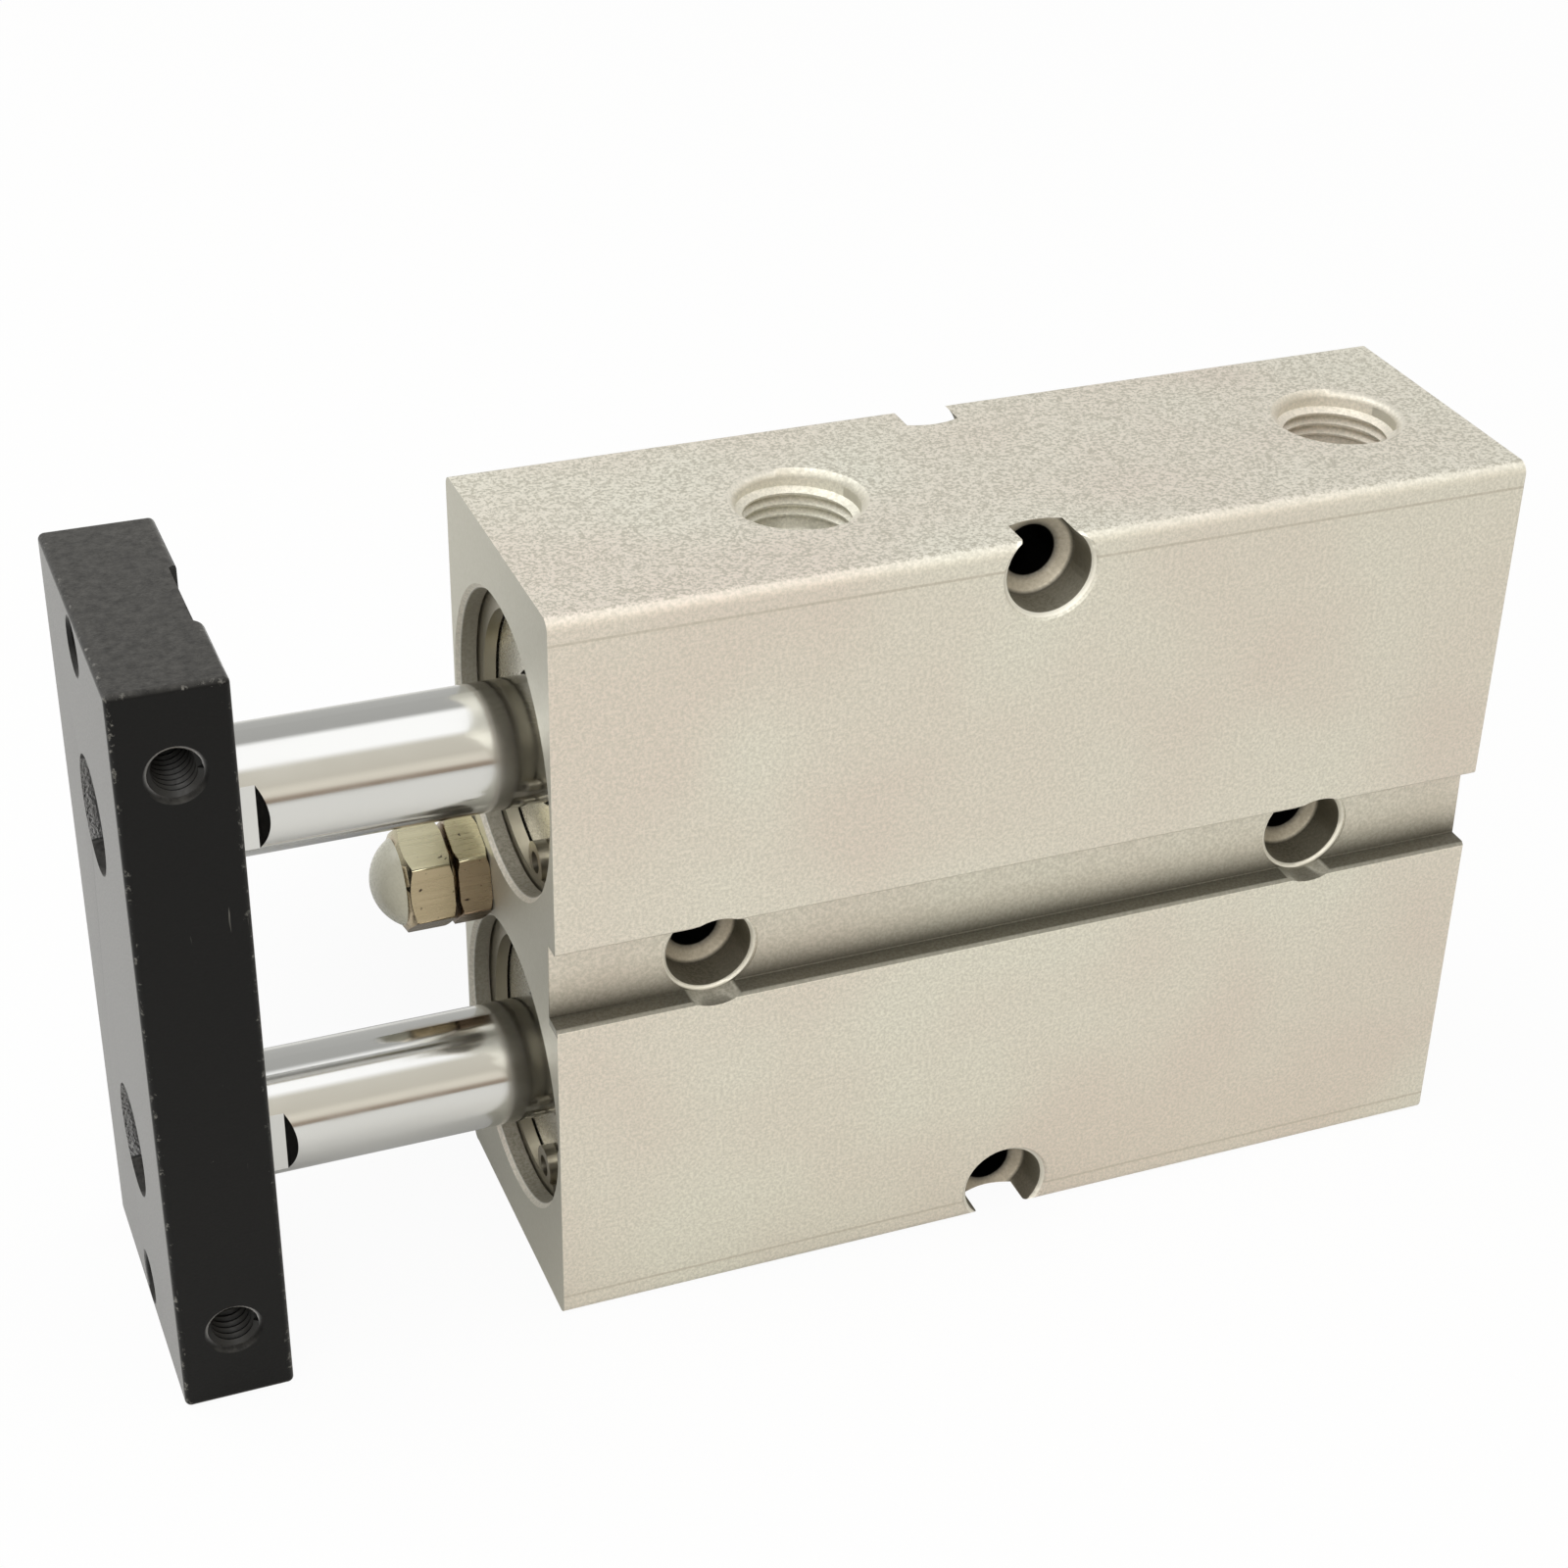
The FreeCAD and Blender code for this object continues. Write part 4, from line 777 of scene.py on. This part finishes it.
@dataclass
class EasedPiece:
    """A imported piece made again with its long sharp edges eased, as a deburring tool leaves them."""

    node: str
    name: str
    body: Bodies
    slot: str
    finish: Finish
    ease: float
    shortest: float = 1.5 * MM
    segments: int = 2
    sharpest: tuple[float, float] = (math.radians(50), math.radians(125))
    coplanar: float = math.radians(0.5)
    smooth_below: float = math.radians(32)

    def is_sharp(self, edge: bmesh.types.BMEdge) -> bool:
        """Tells a long sharp edge from the rest.

        Args:
            edge: the edge.

        Returns:
            Whether it is to be eased.
        """
        if len(edge.link_faces) != 2 or edge.calc_length() < self.shortest:
            return False
        return self.sharpest[0] < edge.calc_face_angle() < self.sharpest[1]

    def build(self) -> bpy.types.Object:
        """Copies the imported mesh, joins its faces, eases its edges and sets the copy in the node's place.

        Returns:
            The finished piece, riding on its body.
        """
        mesh = bmesh.new()
        mesh.from_mesh(frame["nodes"][self.node].data)
        bmesh.ops.remove_doubles(mesh, verts=mesh.verts, dist=MERGE_DISTANCE)
        bmesh.ops.dissolve_limit(mesh, angle_limit=self.coplanar, verts=mesh.verts, edges=mesh.edges)
        edges = [edge for edge in mesh.edges if self.is_sharp(edge)]
        bmesh.ops.bevel(mesh, geom=edges, offset=self.ease, offset_type="OFFSET", segments=self.segments,
                        profile=0.5, affect="EDGES", clamp_overlap=False, material=-1)
        piece = set_out(mesh, self.name)
        piece.data.materials.clear()
        piece.data.materials.append(self.finish.material())
        piece.data.shade_smooth()
        piece.data.set_sharp_from_angle(angle=self.smooth_below)
        flat = piece.modifiers.new("flat_faces_stay_flat", "WEIGHTED_NORMAL")
        flat.keep_sharp = True
        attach(piece, self.body.value)
        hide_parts(self.node)
        log.info("%s: %d edges eased by %.2f mm", self.name, len(edges), self.ease / MM)
        return piece


# ---- cut threads


@dataclass
class CutThread:
    """The helical ridge of a thread cut in a drilled hole."""

    name: str
    body: Bodies
    slot: str
    middle: Vector
    axis: Vector
    root_radius: float
    crest_radius: float
    pitch: float
    length: float
    finish: Finish
    steps_per_turn: int = 36
    root_overlap: float = 0.04 * MM

    def section(self, mesh: bmesh.types.BMesh) -> list:
        """Adds the ridge's section at the thread's start.

        Args:
            mesh: the mesh to add to.

        Returns:
            The section's corners, edges and face.
        """
        outer = self.root_radius + self.root_overlap
        half = self.pitch / 2
        flat = self.pitch / 12
        start = -self.length / 2
        points = ((outer, -half), (self.crest_radius, -flat), (self.crest_radius, flat), (outer, half))
        corners = [mesh.verts.new((x, 0, start + z)) for x, z in points]
        face = mesh.faces.new(corners)
        return corners + list(face.edges) + [face]

    def build(self) -> bpy.types.Object:
        """Sweeps the section up the hole and sets the ridge in its place.

        Returns:
            The finished piece, riding on its body.
        """
        mesh = bmesh.new()
        turns = self.length / self.pitch
        steps = round(turns * self.steps_per_turn)
        bmesh.ops.spin(mesh, geom=self.section(mesh), cent=(0, 0, 0), axis=(0, 0, 1), angle=turns * math.tau,
                       dvec=(0, 0, self.length / steps), steps=steps)
        bmesh.ops.remove_doubles(mesh, verts=mesh.verts, dist=MERGE_DISTANCE)
        bmesh.ops.recalc_face_normals(mesh, faces=mesh.faces)
        turned = self.axis.to_track_quat("Z", "Y").to_matrix().to_4x4()
        bmesh.ops.transform(mesh, matrix=Matrix.Translation(self.middle) @ turned, verts=mesh.verts)
        piece = set_out(mesh, self.name)
        piece.data.materials.append(self.finish.material())
        piece.data.shade_smooth()
        piece.data.set_sharp_from_angle(angle=math.radians(30))
        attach(piece, self.body.value)
        log.info("%s: %.1f turns", self.name, turns)
        return piece


# ---- sub-assemblies


@dataclass
class Housing:
    """The extruded body with its twin bores, ports and screw holes."""

    port_pitch: float = 0.907 * MM
    port_thread_height: float = 0.58 * MM
    edge_ease: float = 0.09 * MM
    edge_length: float = 6.0 * MM

    def build(self) -> None:
        """Eases and dresses the body, and cuts the two port threads."""
        finish = body_finish()
        EasedPiece("body", "body_extrusion", Bodies.CYLINDER, "body_aluminium", finish, self.edge_ease,
                   shortest=self.edge_length).build()
        for end in ("front", "rear"):
            hole = mount(f"{end}_port")
            radius = hole["dims"]["r_mm"] * MM
            CutThread(f"{end}_port_thread", Bodies.CYLINDER, "body_aluminium", Vector(hole["pos_m"]),
                      Vector(hole["axis"]), radius, radius - self.port_thread_height, self.port_pitch,
                      hole["dims"]["length_mm"] * MM - self.port_pitch, finish).build()


@dataclass
class EndPlate:
    """The black bar that carries both rods, with its taps and the screws that hold the rods."""

    tap_pitch: float = 0.7 * MM
    tap_thread_height: float = 0.38 * MM
    edge_ease: float = 0.22 * MM
    taps: tuple[str, ...] = ("near_upper", "near_lower", "far_upper", "far_lower")

    def finish(self) -> BlackAnodised:
        """Returns the plate's skin, which wears along the plate's own edges."""
        low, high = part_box("end_plate")
        return BlackAnodised("black_anodised_aluminium", "#101010", 0.5, 0.0, low=tuple(low), high=tuple(high))

    def build(self) -> None:
        """Dresses the plate and its screws, and cuts the threads of its taps."""
        skin = self.finish()
        EasedPiece("end_plate", "end_plate_bar", Bodies.CARRIAGE, "plate_black", skin, self.edge_ease,
                   segments=3).build()
        for side in Side:
            dress(f"plate_screw_{side.value}", BLACK_OXIDE)
        for tap in self.taps:
            hole = mount(f"plate_{tap}_tap")
            self.cut(f"plate_{tap}_thread", Vector(hole["pos_m"]), Vector(hole["axis"]),
                     hole["dims"]["r_mm"] * MM, hole["dims"]["length_mm"] * MM)
        pair = mount("plate_front_taps")
        low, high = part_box("end_plate")
        for side, sign in ((Side.UPPER, 1), (Side.LOWER, -1)):
            away = Vector((0, 0, sign * pair["dims"]["spacing_y_mm"] / 2 * MM))
            self.cut(f"plate_front_{side.value}_thread", Vector(pair["pos_m"]) + away, Vector(pair["axis"]),
                     pair["dims"]["hole_r_mm"] * MM, high.x - low.x - 2 * self.tap_pitch)

    def cut(self, name: str, middle: Vector, axis: Vector, radius: float, depth: float) -> None:
        """Cuts one tapped hole's thread.

        Args:
            name: the thread's name.
            middle: the middle of the tapped length.
            axis: the way out of the hole.
            radius: the thread's major radius.
            depth: the tapped length.
        """
        CutThread(name, Bodies.CARRIAGE, "plate_black", middle, axis, radius, radius - self.tap_thread_height,
                  self.tap_pitch, depth - self.tap_pitch, TAPPED_BLACK, steps_per_turn=28).build()


@dataclass
class RodSet:
    """One guide rod with its piston, as it comes out of the bore."""

    side: Side
    pieces: dict[str, Finish] = field(default_factory=lambda: {
        "guide_rod": CHROME, "wear_ring": ACETAL, "piston_seal": NITRILE, "magnet": FERRITE,
        "magnet_washer": SPRING_STEEL, "piston_bumper": URETHANE, "piston_nut": NICKEL})

    def build(self) -> None:
        """Dresses the rod and everything on it."""
        for piece, finish in self.pieces.items():
            dress(f"{piece}_{self.side.value}", finish)
        piston = f"piston_{self.side.value}"
        dress(piston, turned_aluminium(piston))


@dataclass
class BoreEnds:
    """What closes one bore at both ends: covers, seals and circlips."""

    side: Side
    pieces: dict[str, Finish] = field(default_factory=lambda: {
        "rod_bush": BRONZE, "rod_seal": NITRILE, "front_o_ring": NITRILE, "front_circlip": SPRING_STEEL,
        "rear_bumper": URETHANE, "rear_o_ring": NITRILE, "rear_circlip": SPRING_STEEL})

    def build(self) -> None:
        """Dresses the pieces of both ends."""
        for piece, finish in self.pieces.items():
            dress(f"{piece}_{self.side.value}", finish)
        for cover in ("rod_cover", "rear_cover"):
            node = f"{cover}_{self.side.value}"
            dress(node, turned_aluminium(node))


@dataclass
class StopScrew:
    """The stop bolt in the body's front face, with its lock nut and soft tip."""

    edge_ease: float = 0.16 * MM

    def build(self) -> None:
        """Dresses the bolt, the nut and the tip."""
        for node, name, finish in (("stop_bolt", "stop_bolt_turned", NICKEL),
                                   ("lock_nut", "lock_nut_milled", NUT_NICKEL)):
            EasedPiece(node, name, Bodies.CYLINDER, "nickel_steel", finish, self.edge_ease).build()
        dress("stop_bumper", PALE_URETHANE)


# ---- studio


@dataclass(frozen=True)
class SkyBand:
    """A line in the light round the object, at an angle up from the front horizon and over to the back."""

    degrees: float
    colour: str


@dataclass(frozen=True)
class SoftLamp:
    """A square lamp behind a cloth, aimed at the object's middle."""

    name: str
    place: tuple[float, float, float]
    size: float
    watts: float


@dataclass
class Studio:
    """A white floor with a painted shadow on it, a sky in bands of light, two soft lamps, and the camera."""

    sky_strength: float = 1.42
    # How much of the white that the camera sees is added to what metal reflects, of the sky and of the floor.
    sky_share: float = 0.12
    floor_size: float = 6.0
    floor_colour: str = "#D5D5D3"
    # How much of plain white the camera sees on the floor; the rest of what it sees keeps the shadow.
    floor_glow: float = 0.95
    floor_share: float = 0.15
    # A painted shadow: a dark patch on the floor under the rods, for the rods and the end face to reflect.
    shadow_pad_colour: str = "#3E3D3A"
    shadow_pad_place: tuple[float, float, float] = (-0.018, 0.030, 0.0)
    shadow_pad_inner: float = 0.014
    shadow_pad_outer: float = 0.056
    bands: tuple[SkyBand, ...] = (
        SkyBand(0, "#78654F"), SkyBand(5, "#7E6B55"), SkyBand(12, "#CFC7B8"), SkyBand(19, "#D2CBBC"),
        SkyBand(30, "#B9B3A5"), SkyBand(57, "#BFBAAD"), SkyBand(67, "#FFFFFF"), SkyBand(106, "#FFFFFF"),
        SkyBand(115, "#969693"), SkyBand(180, "#A2A29F"))
    lamps: tuple[SoftLamp, ...] = (SoftLamp("front_lamp", (-0.24, -0.44, 0.46), 0.34, 1.42),
                                   SoftLamp("back_lamp", (-0.26, 0.17, 0.38), 0.28, 0.60))
    camera_place: tuple[float, float, float] = (-0.09383, -0.18917, 0.16209)
    azimuth: float = -22.707
    elevation: float = 32.376
    roll: float = 1.676
    lens_mm: float = 67.9
    shift: tuple[float, float] = (-0.0160, 0.0408)

    def seen(self, tree: bpy.types.NodeTree, in_metal: float) -> bpy.types.NodeSocket:
        """Tells how much of its white a surface shows, by what looks at it.

        Args:
            tree: the nodes of the floor or of the sky.
            in_metal: the share that metal reflects.

        Returns:
            One for the camera and through glass, in_metal in a reflection, and nothing for soft light.
        """
        path = add_node(tree, "LightPath")
        glossy = add_node(tree, "Math", {0: path.outputs["Is Glossy Ray"], 1: in_metal}, operation="MULTIPLY")
        clear = add_node(tree, "Math", {0: path.outputs["Is Camera Ray"], 1: path.outputs["Is Transmission Ray"]},
                         operation="MAXIMUM")
        return add_node(tree, "Math", {0: glossy.outputs[0], 1: clear.outputs[0]}, operation="MAXIMUM").outputs[0]

    def sky(self) -> None:
        """Lights the scene by bands of colour that lie along the rods, and shows white to the camera."""
        world = bpy.data.worlds.new("studio_light")
        bpy.context.scene.world = world
        world.use_nodes = True
        tree = world.node_tree
        way = add_node(tree, "SeparateXYZ", {"Vector": add_node(tree, "TexCoord").outputs["Generated"]})
        front = add_node(tree, "Math", {0: way.outputs["Y"], 1: -1.0}, operation="MULTIPLY")
        up = add_node(tree, "Math", {0: way.outputs["Z"], 1: 0.0}, operation="MAXIMUM")
        turn = add_node(tree, "Math", {0: up.outputs[0], 1: front.outputs[0]}, operation="ARCTAN2")
        share = add_node(tree, "Math", {0: turn.outputs[0], 1: math.pi}, operation="DIVIDE")
        ramp = add_node(tree, "ValToRGB", {"Fac": share.outputs[0]})
        stops = ramp.color_ramp.elements
        while len(stops) < len(self.bands):
            stops.new(0.5)
        for stop, band in zip(stops, self.bands):
            stop.position = band.degrees / 180
            stop.color = linear(band.colour)
        light = add_node(tree, "Background", {"Color": ramp.outputs["Color"], "Strength": self.sky_strength})
        white = add_node(tree, "Background", {"Color": linear("#FFFFFF"), "Strength": 1.0})
        seen = self.seen(tree, self.sky_share)
        mixed = add_node(tree, "MixShader", {0: seen, 1: light.outputs[0], 2: white.outputs[0]})
        tree.links.new(mixed.outputs[0], tree.nodes["World Output"].inputs["Surface"])

    def floor(self) -> None:
        """Lays the floor, which is nearly white to the camera and keeps a faint shadow of the object.

        A dark patch of painted shadow lies on it under the rods, and deepens what the rods and the end face reflect.
        """
        mesh = bmesh.new()
        bmesh.ops.create_grid(mesh, x_segments=1, y_segments=1, size=self.floor_size / 2)
        piece = set_out(mesh, "studio_floor")
        made = bpy.data.materials.new("studio_paper")
        made.use_nodes = True
        tree = made.node_tree
        place = add_node(tree, "TexCoord").outputs["Object"]
        away = add_node(tree, "VectorMath", {0: place, 1: self.shadow_pad_place}, operation="DISTANCE").outputs["Value"]
        shadow_pad = add_node(tree, "MapRange", {"Value": away, "From Min": self.shadow_pad_inner, "From Max": self.shadow_pad_outer,
                                          "To Min": 1.0, "To Max": 0.0}, interpolation_type="SMOOTHSTEP")
        tone = add_node(tree, "Mix", {"Factor": shadow_pad.outputs["Result"], "A": linear(self.floor_colour),
                                      "B": linear(self.shadow_pad_colour)}, data_type="RGBA")
        paper = add_node(tree, "BsdfDiffuse", {"Color": tone.outputs["Result"]})
        glow = add_node(tree, "Emission", {"Color": linear("#FFFFFF"), "Strength": 1.0})
        seen = add_node(tree, "Math", {0: self.seen(tree, self.floor_share), 1: self.floor_glow}, operation="MULTIPLY")
        mixed = add_node(tree, "MixShader", {0: seen.outputs[0], 1: paper.outputs[0], 2: glow.outputs[0]})
        tree.links.new(mixed.outputs[0], tree.nodes["Material Output"].inputs["Surface"])
        piece.data.materials.append(made)
        piece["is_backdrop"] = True

    def hang(self, lamp: SoftLamp) -> None:
        """Hangs one soft lamp, aimed at the object's middle.

        Args:
            lamp: the lamp.
        """
        data = bpy.data.lights.new(lamp.name, "AREA")
        data.shape = "SQUARE"
        data.size = lamp.size
        data.energy = lamp.watts
        low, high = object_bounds()
        place = Vector(lamp.place)
        hung = bpy.data.objects.new(lamp.name, data)
        hung.location = place
        hung.rotation_euler = ((Vector(low) + Vector(high)) / 2 - place).to_track_quat("-Z", "Y").to_euler()
        bpy.context.scene.collection.objects.link(hung)

    def camera(self) -> None:
        """Sets the camera, turned and raised as a person would hold it over a bench."""
        data = bpy.data.cameras.new("camera")
        data.lens = self.lens_mm
        data.shift_x, data.shift_y = self.shift
        data.clip_start = 0.01
        camera = bpy.data.objects.new("camera", data)
        turned = (Matrix.Rotation(math.radians(self.azimuth), 4, "Z")
                  @ Matrix.Rotation(math.radians(90 - self.elevation), 4, "X")
                  @ Matrix.Rotation(math.radians(self.roll), 4, "Z"))
        camera.matrix_world = Matrix.Translation(Vector(self.camera_place)) @ turned
        bpy.context.scene.collection.objects.link(camera)
        bpy.context.scene.camera = camera

    def build(self) -> None:
        """Sets the whole studio up."""
        self.sky()
        self.floor()
        for lamp in self.lamps:
            self.hang(lamp)
        self.camera()
        bpy.context.scene.view_settings.view_transform = "Standard"


def main() -> None:
    """Builds the studio and dresses the sub-assemblies, in the order that they go together."""
    logging.basicConfig(level=logging.INFO, format="%(name)s: %(message)s")
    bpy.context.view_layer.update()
    Studio().build()
    Housing().build()
    for side in Side:
        BoreEnds(side).build()
        RodSet(side).build()
    EndPlate().build()
    StopScrew().build()


if __name__ == "__main__":
    main()
